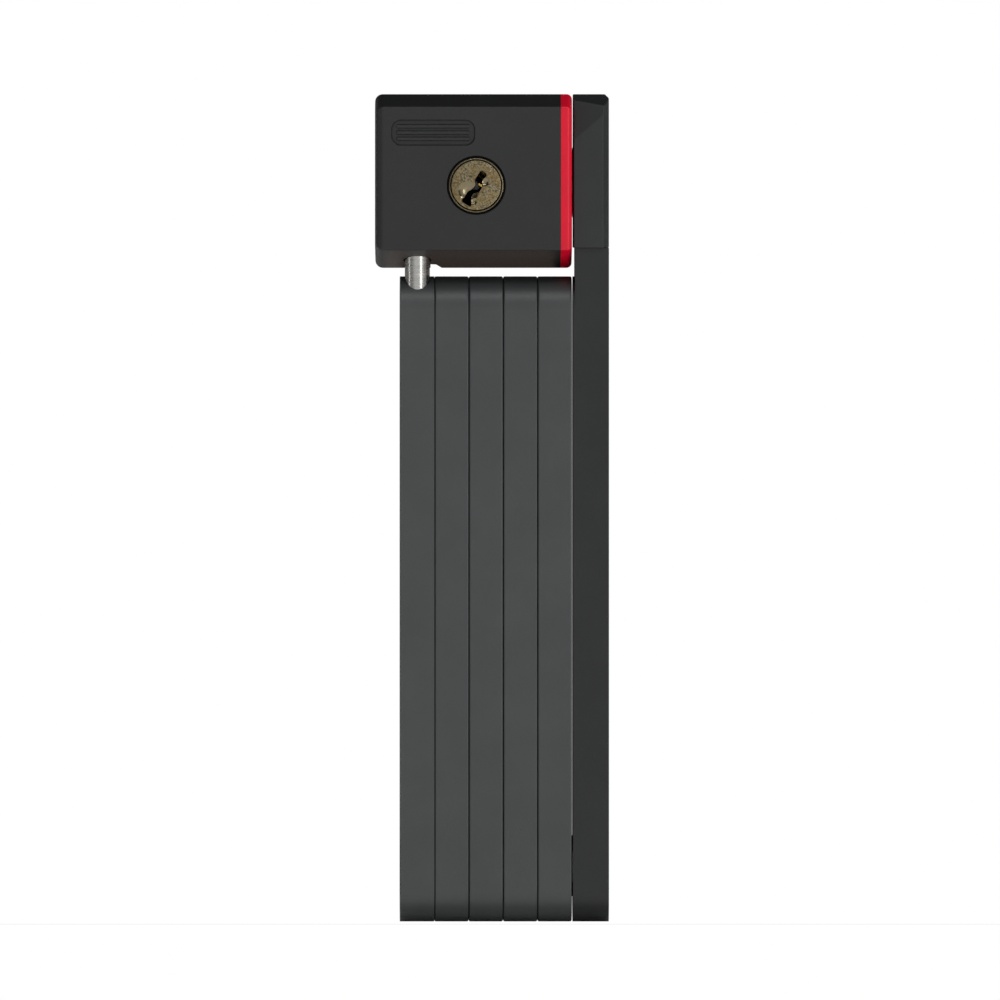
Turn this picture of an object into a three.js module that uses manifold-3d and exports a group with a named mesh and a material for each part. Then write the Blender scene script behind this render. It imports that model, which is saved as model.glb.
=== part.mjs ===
// Folding bike lock, folded up for carrying, with its last bar locked into the body.
// Millimetres. +Z runs up along the bars, +X from the first bar to the last, -Y is the keyhole side.
import * as THREE from 'three'
import { mergeVertices } from 'three/addons/utils/BufferGeometryUtils.js'
import Module from 'manifold-3d'

const wasm = await Module()
wasm.setup()

// ---------------------------------------------------------------- driving sizes
// bars
const BAR_LENGTH = 144.5
const BAR_DEPTH = 24
const BAR_WIDTH = 7.6 // coated bar, measured across the stack
const BAR_GAP = 0.1
const BAR_CORNER = 7.6
const STACKED_BARS = 5 // bars that end below the body
const LAST_BAR_WIDTH = 7.6
const LAST_BAR_GAP = 0.7
const LAST_BAR_LAND = 0.45 // thicker coating of the last bar beside the stack
const HEAD_LAND = 0.35 // head cap stands this far towards the end cap
const STEEL_THICK = 5
const EDGE_COAT = 1 // coating on the narrow edges of a bar
const HEAD_COAT = 2.4 // head cap above the steel of the last bar
const RIVET_INSET = 12.5
const RIVET_R = 4
const RIVET_HEAD_R = 6.5
const RIVET_RECESS_R = 7.2
// body
const BODY_HEIGHT = 38.9
const BODY_DEPTH = 30
const BODY_OVERHANG = 5.5 // body past the first bar
const BODY_GAP = 1.9 // body above the stacked bars
const TOP_BEVEL = { depth: 5, height: 2.85 }
const BOTTOM_BEVEL = { depth: 13, height: 4 }
const SLEEVE_WALL = 2
const END_CAP_THICK = 2.5
const END_CHAMFER = 1
// key cylinder
const CYLINDER_FROM_CAP = 21.47 // axis to the outer face of the end cap
const CYLINDER_RISE = 18.5 // axis above the underside of the body
const CYLINDER_TILT = THREE.MathUtils.degToRad(32) // keyway leans to the right by this much
const PLUG_R = 5.65
const BARREL_R = 8
const NOSE_R = 6.15
const FACE_RECESS = 0.7
const KEYHOLE_GAP = 0.45 // between the nose of the housing and the sleeve
const PIN_COUNT = 5
const PIN_PITCH = 3
const PIN_R = 1.2
const DRIVER_LENGTH = 4
const PIN_SPRING_WIRE = 0.22
const SPRING_TURNS = 4
const BIBLE_TOP = 15.6 // spring chamber block above the cylinder axis
const BIBLE_HALF = 3.4
const CAM_R = 6
const LATCH_LIFT = 2.4 // the cam grows by this over a quarter turn
// swivel pin
const SWIVEL_PIN_R = 2.8
const SWIVEL_PIN_Y = -7.5
const SWIVEL_PIN_SEAT = 14.3 // length held in the first bar
const SWIVEL_PIN_RISE = 25.6 // length inside the body
// locking stud
const STUD_R = 4
const STUD_GROOVE_R = 2.7
const STUD_RISE = 19.1 // stud axis above the underside of the body
const STUD_REACH = 10.2 // length inside the body
const BOSS_R = 8.2
const HEAD_HEIGHT = 34.4
const HEAD_DEPTH = 26
const HEAD_BEVEL = { depth: 4, height: 3 }
const LATCH_THICK = 2.8

// clearances
const SEAT = 0.1 // fixed pieces
const RUN = 0.15 // turning and sliding pieces
const TURNED_GAP = 0.3 // between the tilted cylinder and what holds it
const SOCKET_GAP = 0.35 // around the stud

// ---------------------------------------------------------------- places that follow from them
const stackWidth = STACKED_BARS * BAR_WIDTH + (STACKED_BARS - 1) * BAR_GAP
const bodyWidth = BODY_OVERHANG + stackWidth
const lockWidth = bodyWidth + LAST_BAR_GAP + LAST_BAR_WIDTH
const lockHeight = BAR_LENGTH + BODY_GAP + BODY_HEIGHT
const bodyLeft = -lockWidth / 2
const bodyRight = bodyLeft + bodyWidth
const bodyBottom = BAR_LENGTH + BODY_GAP
const bodyTop = lockHeight
const bodyFront = -BODY_DEPTH / 2
const bodyBack = BODY_DEPTH / 2
const capLeft = bodyRight - END_CAP_THICK
const steelDepth = BAR_DEPTH - 2 * EDGE_COAT
const lowRivetZ = RIVET_INSET
const highRivetZ = BAR_LENGTH - RIVET_INSET

const bars = [...Array(STACKED_BARS).keys()].map((i) => ({
  x: bodyLeft + BODY_OVERHANG + BAR_WIDTH / 2 + i * (BAR_WIDTH + BAR_GAP),
  width: BAR_WIDTH,
  top: BAR_LENGTH,
}))
bars.push({ x: bodyRight + LAST_BAR_GAP + LAST_BAR_WIDTH / 2, width: LAST_BAR_WIDTH, top: lockHeight })
const [firstBar] = bars
const lastBar = bars.at(-1)
const headBottom = lockHeight - HEAD_HEIGHT

const studZ = bodyBottom + STUD_RISE
const studTip = bodyRight - STUD_REACH
const socketEnd = studTip - SOCKET_GAP
const grooveLeft = studTip + 2.4
const grooveRight = grooveLeft + LATCH_THICK + 2 * RUN + 0.2
const cylinder = { x: bodyRight - CYLINDER_FROM_CAP, z: bodyBottom + CYLINDER_RISE }
const plugFront = bodyFront + FACE_RECESS
const barrelFront = bodyFront + SLEEVE_WALL + SEAT
const firstChamber = plugFront + 3.4
const lastChamber = firstChamber + (PIN_COUNT - 1) * PIN_PITCH
const barrelBack = lastChamber + PIN_R + 4.2
const camFront = barrelBack + 1.2
const camBack = camFront + 3
const lidFront = camBack + 1
const lidBack = bodyBack - SLEEVE_WALL - 2 * SEAT

// ---------------------------------------------------------------- solids
const ROUND = 24 // sides of an ordinary turned piece
const FINE_ROUND = 32 // sides of the key cylinder and of wide holes
const SMALL_ROUND = 12 // sides of pins and screws
const AXES = {
  x: new THREE.Matrix4().makeBasis(
    new THREE.Vector3(0, 1, 0), new THREE.Vector3(0, 0, 1), new THREE.Vector3(1, 0, 0)),
  y: new THREE.Matrix4().makeBasis(
    new THREE.Vector3(0, 0, 1), new THREE.Vector3(1, 0, 0), new THREE.Vector3(0, 1, 0)),
  z: new THREE.Matrix4(),
}

function solid(geometry) {
  const bare = geometry.index ? geometry.toNonIndexed() : geometry.clone()
  for (const name of Object.keys(bare.attributes)) if (name !== 'position') bare.deleteAttribute(name)
  const merged = mergeVertices(bare, 1e-4)
  return new wasm.Manifold(new wasm.Mesh({
    numProp: 3,
    vertProperties: new Float32Array(merged.attributes.position.array),
    triVerts: new Uint32Array(merged.index.array),
  }))
}

// A prism of an outline. Outlines for axis x are drawn in (y, z), for y in (z, x), for z in (x, y).
function prism(axis, outline, from, to, segments = 3) {
  const shape = outline instanceof THREE.Shape ? outline : new THREE.Shape(outline)
  const geometry = new THREE.ExtrudeGeometry(shape,
    { depth: to - from, bevelEnabled: false, curveSegments: segments })
  return solid(geometry.translate(0, 0, from).applyMatrix4(AXES[axis]))
}

function block(x0, x1, y0, y1, z0, z1) {
  const geometry = new THREE.BoxGeometry(x1 - x0, y1 - y0, z1 - z0)
  return solid(geometry.translate((x0 + x1) / 2, (y0 + y1) / 2, (z0 + z1) / 2))
}

// A turned piece: profile of [radius, place along the axis], closed on the axis at both ends.
function turned(axis, profile, centre = [0, 0], segments = ROUND) {
  const geometry = new THREE.LatheGeometry(profile.map(([r, h]) => new THREE.Vector2(r, h)), segments)
  geometry.applyMatrix4(new THREE.Matrix4().makeRotationX(Math.PI / 2))
  return solid(geometry.translate(centre[0], centre[1], 0).applyMatrix4(AXES[axis]))
}

function rod(axis, radius, from, to, centre = [0, 0], segments = ROUND) {
  return turned(axis, [[0, from], [radius, from], [radius, to], [0, to]], centre, segments)
}

function ring(axis, inner, outer, from, to, centre = [0, 0], segments = ROUND) {
  return rod(axis, outer, from, to, centre, segments)
    .subtract(rod(axis, inner, from - 1, to + 1, centre, segments))
}

function union(...solids) {
  return solids.reduce((sum, each) => sum.add(each))
}

// ---------------------------------------------------------------- outlines
// Long shape with rounded ends, standing in (y, z).
function roundedOutline(depth, bottom, top, corner) {
  const half = depth / 2
  const shape = new THREE.Shape()
  shape.absarc(half - corner, bottom + corner, corner, -Math.PI / 2, 0)
  shape.absarc(half - corner, top - corner, corner, 0, Math.PI / 2)
  shape.absarc(-half + corner, top - corner, corner, Math.PI / 2, Math.PI)
  shape.absarc(-half + corner, bottom + corner, corner, Math.PI, Math.PI * 1.5)
  return shape
}

// Section of the body in (y, z), counter-clockwise, moved inwards by inset.
function bodyOutline(inset = 0) {
  const right = [
    [bodyBack - BOTTOM_BEVEL.depth, bodyBottom],
    [bodyBack, bodyBottom + BOTTOM_BEVEL.height],
    [bodyBack, bodyTop - TOP_BEVEL.height],
    [bodyBack - TOP_BEVEL.depth, bodyTop],
  ]
  const left = right.toReversed().map(([y, z]) => [-y, z])
  const points = [...right, ...left].map(([y, z]) => new THREE.Vector2(y, z))
  const sides = points.map((point, i) => {
    const along = points[(i + 1) % points.length].clone().sub(point).normalize()
    const inward = new THREE.Vector2(-along.y, along.x)
    return { start: point.clone().addScaledVector(inward, inset), along }
  })
  return sides.map((side, i) => {
    const before = sides.at(i - 1)
    const gap = before.start.clone().sub(side.start)
    const travel = gap.cross(before.along) / side.along.cross(before.along)
    return side.start.clone().addScaledVector(side.along, travel)
  })
}

// Body section between two places along X, with its outer edge chamfered at one end.
function bodyPrism(from, to, chamferAt) {
  const shape = new THREE.Shape(bodyOutline())
  const reach = to - from
  const options = {
    depth: reach, bevelEnabled: true, bevelThickness: END_CHAMFER, bevelSize: END_CHAMFER,
    bevelOffset: -END_CHAMFER, bevelSegments: 2,
  }
  const shift = chamferAt === 'left' ? from + END_CHAMFER : from - END_CHAMFER
  const chamfered = solid(new THREE.ExtrudeGeometry(shape, options)
    .translate(0, 0, shift).applyMatrix4(AXES.x))
  return chamfered.intersect(prism('x', bodyOutline(), from, to))
}

// Where the stud travels when the bars swing: about the low rivets and about the high ones.
function studPath() {
  const clear = STUD_R + SOCKET_GAP
  const outer = studZ - lowRivetZ + clear
  const inner = studZ - highRivetZ - clear
  const exit = bodyBack + 1
  const shape = new THREE.Shape()
  shape.absarc(0, studZ, clear, Math.PI / 2, Math.PI * 1.5)
  shape.absarc(0, highRivetZ, inner, Math.PI / 2, Math.acos(exit / inner), true)
  shape.absarc(0, lowRivetZ, outer, Math.acos(exit / outer), Math.PI / 2)
  return shape
}

// ---------------------------------------------------------------- lock body
const capScrews = [
  { y: -8.5, z: bodyBottom + 8 },
  { y: -8.5, z: bodyTop - 8.5 },
  { y: 8.5, z: bodyBottom + 5.8 },
]
const SCREW_R = 1.3
const SCREW_HEAD_R = 2.5
const SCREW_HEAD = 1.3
const SCREW_LENGTH = 9

function screwAt(tip, place, grow = 0) {
  const head = bodyRight - RUN
  const mouth = grow > 0 ? head + 1 : head
  return turned('x', [
    [0, tip - grow], [SCREW_R + grow, tip - grow],
    [SCREW_R + grow, head - SCREW_HEAD], [SCREW_HEAD_R + grow, head - 0.3],
    [SCREW_HEAD_R + grow, mouth], [0, mouth],
  ], [place.y, place.z], SMALL_ROUND)
}

function cylinderBore() {
  const bore = union(
    rod('y', BARREL_R + TURNED_GAP, bodyFront, barrelBack + SEAT, [0, 0], FINE_ROUND),
    block(-BIBLE_HALF - TURNED_GAP, BIBLE_HALF + TURNED_GAP, bodyFront, lastChamber + 2.6 + TURNED_GAP,
      0, BIBLE_TOP + 0.8 + TURNED_GAP))
  return bore.rotate([0, THREE.MathUtils.radToDeg(CYLINDER_TILT), 0]).translate([cylinder.x, 0, cylinder.z])
}

const pinPlace = [firstBar.x, SWIVEL_PIN_Y]
const pinBottom = BAR_LENGTH - SWIVEL_PIN_SEAT
const pinTop = bodyBottom + SWIVEL_PIN_RISE
const ringBottom = pinTop - 3.8
const RING_THICK = 1.2
const RING_R = 4.2
const BUSH_R = 4.2
const bushBottom = bodyBottom + 6
const bushTop = ringBottom - 1.5

function makeSleeve() {
  const outer = bodyPrism(bodyLeft, capLeft - SEAT, 'left')
  const inner = prism('x', bodyOutline(SLEEVE_WALL), bodyLeft + SLEEVE_WALL, capLeft + 1)
  return outer.subtract(inner)
    .subtract(rod('y', NOSE_R + KEYHOLE_GAP, bodyFront - 1, bodyFront + SLEEVE_WALL + 1,
      [cylinder.z, cylinder.x], FINE_ROUND))
    .subtract(rod('z', SWIVEL_PIN_R + TURNED_GAP, bodyBottom - 1, bodyBottom + 10, pinPlace))
    .subtract(prism('x', studPath(), socketEnd, capLeft + 1, 5))
}

function makeEndCap() {
  let cap = bodyPrism(capLeft, bodyRight, 'right')
    .subtract(prism('x', studPath(), capLeft - 1, bodyRight + 1, 5))
  for (const place of capScrews) cap = cap.subtract(screwAt(capLeft - 1, place, RUN))
  return cap
}

const latch = {
  left: grooveLeft + RUN + 0.1, right: grooveLeft + RUN + 0.1 + LATCH_THICK,
  bottom: studZ + STUD_GROOVE_R + RUN, top: cylinder.z + CAM_R + TURNED_GAP + 4.2,
  front: -3, tipBack: 2.5, back: camBack, stemBottom: studZ + STUD_R + SOCKET_GAP,
  armLeft: cylinder.x - 2.2, armBottom: cylinder.z + CAM_R + TURNED_GAP,
}
const SPRING_X = cylinder.x + 5.5
const springY = (camFront + camBack) / 2
const springTop = bodyTop - SLEEVE_WALL - 1.4
const LATCH_SPRING_R = 1.7
const LATCH_SPRING_WIRE = 0.3

function makeCore() {
  const pocket = {
    left: cylinder.x - CAM_R - LATCH_LIFT - 1, right: socketEnd - 0.6,
    bottom: cylinder.z - CAM_R - LATCH_LIFT - 1, top: latch.top + LATCH_LIFT + 0.4,
  }
  const back = bodyBack
  let core = prism('x', bodyOutline(SLEEVE_WALL + SEAT), bodyLeft + SLEEVE_WALL + SEAT, capLeft - SEAT)
    .subtract(cylinderBore())
    .subtract(block(pocket.left, pocket.right, barrelBack, back, pocket.bottom, pocket.top))
    .subtract(block(pocket.right - 1, latch.right + RUN, latch.back - 4, back,
      latch.armBottom - RUN, pocket.top))
    .subtract(block(latch.left - RUN, latch.right + RUN, latch.front - RUN, back, studZ, pocket.top))
    .subtract(prism('x', studPath(), socketEnd, bodyRight, 5))
    .subtract(rod('z', LATCH_SPRING_R + 0.6, latch.top, springTop + SEAT, [SPRING_X, springY], SMALL_ROUND))
    .subtract(block(...lidSpan(SEAT)))
    .subtract(rod('z', SWIVEL_PIN_R + TURNED_GAP, bodyBottom - 1, pinTop + 1, pinPlace))
    .subtract(rod('z', BUSH_R + SEAT, bodyBottom - 1, bushTop + SEAT, pinPlace))
    .subtract(rod('z', RING_R + TURNED_GAP, ringBottom - RUN - 0.2, pinTop + 1, pinPlace))
  for (const place of capScrews) core = core.subtract(screwAt(bodyRight - SCREW_LENGTH, place, SEAT))
  for (const z of lidScrewHeights) core = core.subtract(lidScrew(z, SEAT))
  return core
}

// The lid closes the cam pocket, to the left of the socket.
const LID_RIM = 2
function lidSpan(grow = 0) {
  return [
    cylinder.x - CAM_R - LATCH_LIFT - 1 - LID_RIM - 3 - grow, socketEnd - 0.8 + grow,
    lidFront - grow, lidBack + grow * 20,
    cylinder.z - CAM_R - LATCH_LIFT - 1 - LID_RIM - grow,
    latch.top + LATCH_LIFT + 0.4 + LID_RIM - 0.6 + grow,
  ]
}
const lidScrewHeights = [cylinder.z - 8, cylinder.z + 12]
const lidScrewX = cylinder.x - CAM_R - LATCH_LIFT - 1 - 2.4

function lidScrew(z, grow = 0) {
  return turned('y', [
    [0, lidFront - 4 - grow], [0.8 + grow, lidFront - 4 - grow], [0.8 + grow, lidFront + 0.5],
    [1.4 + grow, lidFront + 0.5 - grow], [1.4 + grow, lidBack - SEAT + grow * 4],
    [0, lidBack - SEAT + grow * 4],
  ], [z, lidScrewX], SMALL_ROUND)
}

function makeLid() {
  let lid = block(...lidSpan())
  for (const z of lidScrewHeights) lid = lid.subtract(lidScrew(z, SEAT))
  return lid
}

// ---------------------------------------------------------------- key cylinder
// Drawn upright about its own axis, and tilted when it is placed.
const chamberPlaces = [...Array(PIN_COUNT).keys()].map((i) => firstChamber + i * PIN_PITCH)
const BITTING = [3.1, 4.2, 3.5, 4.6, 3.8] // key pin lengths of an everyday key
const shearKey = PLUG_R - 0.2
const chamberFloor = Math.min(0.3, shearKey - Math.max(...BITTING) - RUN)
const shearDriver = PLUG_R + RUN + 0.2

// Section of the keyway in (z, x): a bent slot that leans across the plug face.
function keywayOutline() {
  return [
    [3.3, -0.75], [3.3, 0.65], [1.5, 0.65], [0.7, 1.25], [-1.1, 1.25], [-1.9, 0.45],
    [-2.6, 0.45], [-3.1, 1.0], [-4.7, 1.0], [-4.7, -1.15], [-2.2, -1.15], [-1.5, -0.5],
    [-0.6, -0.2], [0.2, -0.2], [0.9, -0.75],
  ].map(([z, x]) => new THREE.Vector2(z, x))
}

function makeHousing() {
  let housing = union(
    rod('y', BARREL_R, barrelFront, barrelBack, [0, 0], FINE_ROUND),
    rod('y', NOSE_R, plugFront - 0.1, barrelFront + 1, [0, 0], FINE_ROUND),
    block(-BIBLE_HALF, BIBLE_HALF, barrelFront, lastChamber + 2.6, 0, BIBLE_TOP))
    .subtract(rod('y', PLUG_R + RUN, bodyFront - 1, barrelBack + 1, [0, 0], FINE_ROUND))
  for (const y of chamberPlaces) {
    housing = housing.subtract(rod('z', PIN_R + RUN, 0, BIBLE_TOP + 1, [0, y], SMALL_ROUND))
  }
  return housing
}

function makePlug() {
  let plug = turned('y', [
    [0, plugFront], [PLUG_R - 0.3, plugFront], [PLUG_R, plugFront + 0.3],
    [PLUG_R, barrelBack + SEAT], [3.2, barrelBack + SEAT], [3.2, camFront - SEAT], [0, camFront - SEAT],
  ], [0, 0], FINE_ROUND)
  plug = plug.add(block(-2, 2, camFront - 1, camBack - 0.2, -2, 2))
    .subtract(prism('y', keywayOutline(), plugFront - 1, barrelBack - 1))
    .subtract(rod('y', 1.1, camFront - 1.5, camBack + 1, [0, 0], SMALL_ROUND))
  for (const y of chamberPlaces) {
    plug = plug.subtract(rod('z', PIN_R + RUN, chamberFloor, PLUG_R + 1, [0, y], SMALL_ROUND))
  }
  return plug
}

function makeKeyPin(i) {
  const tip = shearKey - BITTING[i]
  return turned('z', [
    [0, tip], [0.5, tip], [PIN_R, tip + 0.6],
    [PIN_R, shearKey - 0.1], [PIN_R - 0.15, shearKey], [0, shearKey],
  ], [0, chamberPlaces[i]], SMALL_ROUND)
}

function makeDriverPin(i) {
  const low = shearDriver
  const high = shearDriver + DRIVER_LENGTH
  return turned('z', [
    [0, low], [PIN_R - 0.15, low], [PIN_R, low + 0.15],
    [PIN_R, high - 0.3], [PIN_R - 0.3, high], [0, high],
  ], [0, chamberPlaces[i]], SMALL_ROUND)
}

class Helix extends THREE.Curve {
  constructor(centre, radius, bottom, top, turns) {
    super()
    Object.assign(this, { centre, radius, bottom, top, turns })
  }

  getPoint(t, target = new THREE.Vector3()) {
    const angle = t * this.turns * Math.PI * 2
    return target.set(
      this.centre[0] + this.radius * Math.cos(angle),
      this.centre[1] + this.radius * Math.sin(angle),
      this.bottom + t * (this.top - this.bottom))
  }
}

function spring(centre, radius, wire, bottom, top, turns) {
  const path = new Helix(centre, radius - wire, bottom + wire * 1.2, top - wire * 1.2, turns)
  const section = new THREE.Shape().absarc(0, 0, wire, 0, Math.PI * 2)
  return solid(new THREE.ExtrudeGeometry(section,
    { extrudePath: path, steps: turns * 8, curveSegments: 2, bevelEnabled: false }))
}

function makePinSpring(i) {
  const bottom = shearDriver + DRIVER_LENGTH + SEAT
  return spring([0, chamberPlaces[i]], PIN_R - 0.1, PIN_SPRING_WIRE, bottom, BIBLE_TOP - SEAT, SPRING_TURNS)
}

// The cam's edge rises from CAM_R by LATCH_LIFT over the quarter turn that unlocks.
function makeCam() {
  const points = []
  const steps = 12
  for (let i = 0; i <= steps; i += 1) {
    const turn = (i / steps) * Math.PI / 2
    points.push([turn, CAM_R + LATCH_LIFT * i / steps])
  }
  const rest = [[2.0, 7.6], [2.5, 5], [3.3, 4.4], [4.2, 4.4], [5.2, 4.4], [5.8, 4.8]]
  const outline = [...points, ...rest].map(([turn, r]) => new THREE.Vector2(
    r * Math.cos(turn + CYLINDER_TILT), -r * Math.sin(turn + CYLINDER_TILT)))
  return prism('y', outline.toReversed(), camFront, camBack)
    .subtract(block(-2 - SEAT, 2 + SEAT, camFront - 1, camBack + 1, -2 - SEAT, 2 + SEAT))
}

// ---------------------------------------------------------------- latch
function makeLatch() {
  return union(
    block(latch.left, latch.right, latch.front, latch.tipBack, latch.bottom, latch.top),
    block(latch.left, latch.right, latch.front, latch.back, latch.stemBottom, latch.top),
    block(latch.armLeft, latch.right, camFront, latch.back, latch.armBottom, latch.top))
}

// ---------------------------------------------------------------- bars
function rivetHeights(i) {
  const heights = []
  if (i < bars.length) heights.push(lowRivetZ)
  if (i > 0 && i < bars.length - 1) heights.push(highRivetZ)
  return heights
}

function topCoat(i) {
  return i === bars.length - 1 ? HEAD_COAT : EDGE_COAT
}

function makeSteel(i) {
  const bar = bars[i]
  const top = bar.top - topCoat(i)
  let steel = prism('x', roundedOutline(steelDepth, EDGE_COAT, top, BAR_CORNER - EDGE_COAT),
    bar.x - STEEL_THICK / 2, bar.x + STEEL_THICK / 2)
  for (const z of rivetHeights(i)) {
    steel = steel.subtract(rod('x', RIVET_R + RUN, bar.x - bar.width, bar.x + bar.width, [0, z]))
  }
  if (i === 0) {
    steel = steel.subtract(rod('z', SWIVEL_PIN_R + SEAT, pinBottom - SEAT, lockHeight, pinPlace))
      .subtract(dowelRod(SEAT))
  }
  if (i === bars.length - 1) {
    steel = steel.subtract(rod('x', STUD_SHANK_R + SEAT, bar.x - bar.width, bar.x + bar.width, [0, studZ]))
  }
  return steel
}

function makeSheath(i) {
  const bar = bars[i]
  const last = i === bars.length - 1
  const left = bar.x - bar.width / 2
  const right = bar.x + bar.width / 2
  let sheath = prism('x', roundedOutline(BAR_DEPTH, 0, bar.top, BAR_CORNER), left, right)
  if (last) {
    sheath = sheath.add(prism('x', roundedOutline(BAR_DEPTH, 0, BAR_LENGTH, BAR_CORNER),
      left - LAST_BAR_LAND, left + 1))
  }
  sheath = sheath
    .subtract(prism('x', roundedOutline(steelDepth + 2 * SEAT, EDGE_COAT - SEAT,
      bar.top - topCoat(i) + SEAT, BAR_CORNER - EDGE_COAT + SEAT),
    bar.x - STEEL_THICK / 2 - SEAT, bar.x + STEEL_THICK / 2 + SEAT))
  for (const z of rivetHeights(i)) {
    sheath = sheath.subtract(rod('x', RIVET_RECESS_R, left - 2, right + 1, [0, z]))
  }
  if (i === 0) {
    sheath = sheath.subtract(rod('z', SWIVEL_PIN_R + SEAT, pinBottom - SEAT, lockHeight, pinPlace))
  }
  if (last) {
    sheath = sheath.subtract(block(left - 1, right + 1, -BAR_DEPTH, BAR_DEPTH,
      headBottom - SEAT, lockHeight + 1))
  }
  return sheath
}

// Rivet i joins bar i to bar i + 1; its heads lie below the coated faces.
const HEAD_THICK = 1
function makeRivet(i) {
  const z = i % 2 === 0 ? lowRivetZ : highRivetZ
  const left = bars[i].x - STEEL_THICK / 2 - 0.08
  const right = bars[i + 1].x + STEEL_THICK / 2 + 0.08
  return turned('x', [
    [0, left - HEAD_THICK], [RIVET_HEAD_R - 1, left - HEAD_THICK], [RIVET_HEAD_R, left - 0.4],
    [RIVET_HEAD_R, left], [RIVET_R, left], [RIVET_R, right], [RIVET_HEAD_R, right],
    [RIVET_HEAD_R, right + 0.4], [RIVET_HEAD_R - 1, right + HEAD_THICK], [0, right + HEAD_THICK],
  ], [0, z])
}

function makeWasher(i) {
  const z = i % 2 === 0 ? lowRivetZ : highRivetZ
  const left = bars[i].x + STEEL_THICK / 2 + 0.08
  const right = bars[i + 1].x - STEEL_THICK / 2 - 0.08
  return ring('x', RIVET_R + RUN, RIVET_RECESS_R - 0.4, left, right, [0, z])
}

// ---------------------------------------------------------------- swivel pin
const DOWEL_R = 0.9
function dowelRod(grow = 0) {
  const place = [pinBottom + 5, firstBar.x]
  return rod('y', DOWEL_R + grow, -steelDepth / 2 + 0.2 - grow, -2 + grow, place, SMALL_ROUND)
}

function makeSwivelPin() {
  return turned('z', [
    [0, pinBottom], [SWIVEL_PIN_R - 0.4, pinBottom], [SWIVEL_PIN_R, pinBottom + 0.4],
    [SWIVEL_PIN_R, ringBottom - SEAT], [2, ringBottom - SEAT],
    [2, ringBottom + RING_THICK + SEAT], [SWIVEL_PIN_R, ringBottom + RING_THICK + SEAT],
    [SWIVEL_PIN_R, pinTop - 0.4], [SWIVEL_PIN_R - 0.4, pinTop], [0, pinTop],
  ], pinPlace).subtract(dowelRod(SEAT))
}

// Open ring that snaps into the groove.
function makeSwivelRing() {
  const [x, y] = pinPlace
  return ring('z', 2 + SEAT, RING_R, ringBottom, ringBottom + RING_THICK, pinPlace)
    .subtract(block(x - 1, x + 1, y, y + RING_R + 1, ringBottom - 1, ringBottom + RING_THICK + 1))
}

// ---------------------------------------------------------------- head of the last bar
const STUD_SHANK_R = 3
function makeHeadCap() {
  const left = lastBar.x - LAST_BAR_WIDTH / 2 - HEAD_LAND
  const right = lastBar.x + LAST_BAR_WIDTH / 2
  const half = HEAD_DEPTH / 2
  const { depth, height } = HEAD_BEVEL
  const outline = [
    [half, headBottom], [half, bodyTop - height], [half - depth, bodyTop],
    [-half + depth, bodyTop], [-half, bodyTop - height], [-half, headBottom],
  ].map(([y, z]) => new THREE.Vector2(y, z))
  const chamfer = prism('y', [
    [headBottom, left], [bodyTop, left], [bodyTop, right - 1], [bodyTop - 1, right], [headBottom, right],
  ].map(([z, x]) => new THREE.Vector2(z, x)), -half, half)
  return prism('x', outline, left, right)
    .intersect(chamfer)
    .add(rod('x', BOSS_R, bodyRight + RUN, left + 0.5, [0, studZ], FINE_ROUND))
    .subtract(prism('x', roundedOutline(steelDepth + 2 * SEAT, EDGE_COAT - SEAT,
      lastBar.top - HEAD_COAT + SEAT, BAR_CORNER - EDGE_COAT + SEAT),
    lastBar.x - STEEL_THICK / 2 - SEAT, lastBar.x + STEEL_THICK / 2 + SEAT))
    .subtract(rod('x', STUD_R + SEAT, bodyRight - 1, lastBar.x, [0, studZ]))
}

function makeStud() {
  const shoulder = lastBar.x - STEEL_THICK / 2 - SEAT
  return turned('x', [
    [0, studTip], [STUD_R - 0.8, studTip], [STUD_R, studTip + 0.8], [STUD_R, grooveLeft],
    [STUD_GROOVE_R, grooveLeft], [STUD_GROOVE_R, grooveRight], [STUD_R, grooveRight],
    [STUD_R, shoulder], [STUD_SHANK_R, shoulder],
    [STUD_SHANK_R, lastBar.x + STEEL_THICK / 2], [0, lastBar.x + STEEL_THICK / 2],
  ], [0, studZ])
}

// ---------------------------------------------------------------- materials and assembly
function material(color, roughness, metalness) {
  return new THREE.MeshStandardMaterial({ color, roughness, metalness })
}
const blackPlastic = material('#34373a', 0.6, 0)
const coating = material('#474a4c', 0.62, 0)
const redPlastic = material('#cd2136', 0.4, 0)
const headPlastic = material('#38393a', 0.5, 0)
const castMetal = material('#8b8d90', 0.55, 0.9)
const brass = material('#a8966c', 0.35, 1)
const steel = material('#9a9b98', 0.35, 1)
const springSteel = material('#b8babc', 0.3, 1)

const group = new THREE.Group()

function place(name, form, look, parent = group) {
  const mesh = form.getMesh()
  const geometry = new THREE.BufferGeometry()
  geometry.setAttribute('position', new THREE.BufferAttribute(mesh.vertProperties, 3))
  geometry.setIndex(new THREE.BufferAttribute(mesh.triVerts, 1))
  geometry.computeVertexNormals()
  const piece = new THREE.Mesh(geometry, look)
  piece.name = name
  parent.add(piece)
}

place('body_sleeve', makeSleeve(), blackPlastic)
place('end_cap', makeEndCap(), redPlastic)
capScrews.forEach((spot, i) => place(`cap_screw_${i + 1}`, screwAt(bodyRight - SCREW_LENGTH, spot), steel))
place('lock_core', makeCore(), castMetal)
place('core_lid', makeLid(), steel)
lidScrewHeights.forEach((z, i) => place(`lid_screw_${i + 1}`, lidScrew(z), steel))
place('swivel_bush', ring('z', SWIVEL_PIN_R + RUN, BUSH_R, bushBottom, bushTop, pinPlace), brass)

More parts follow.
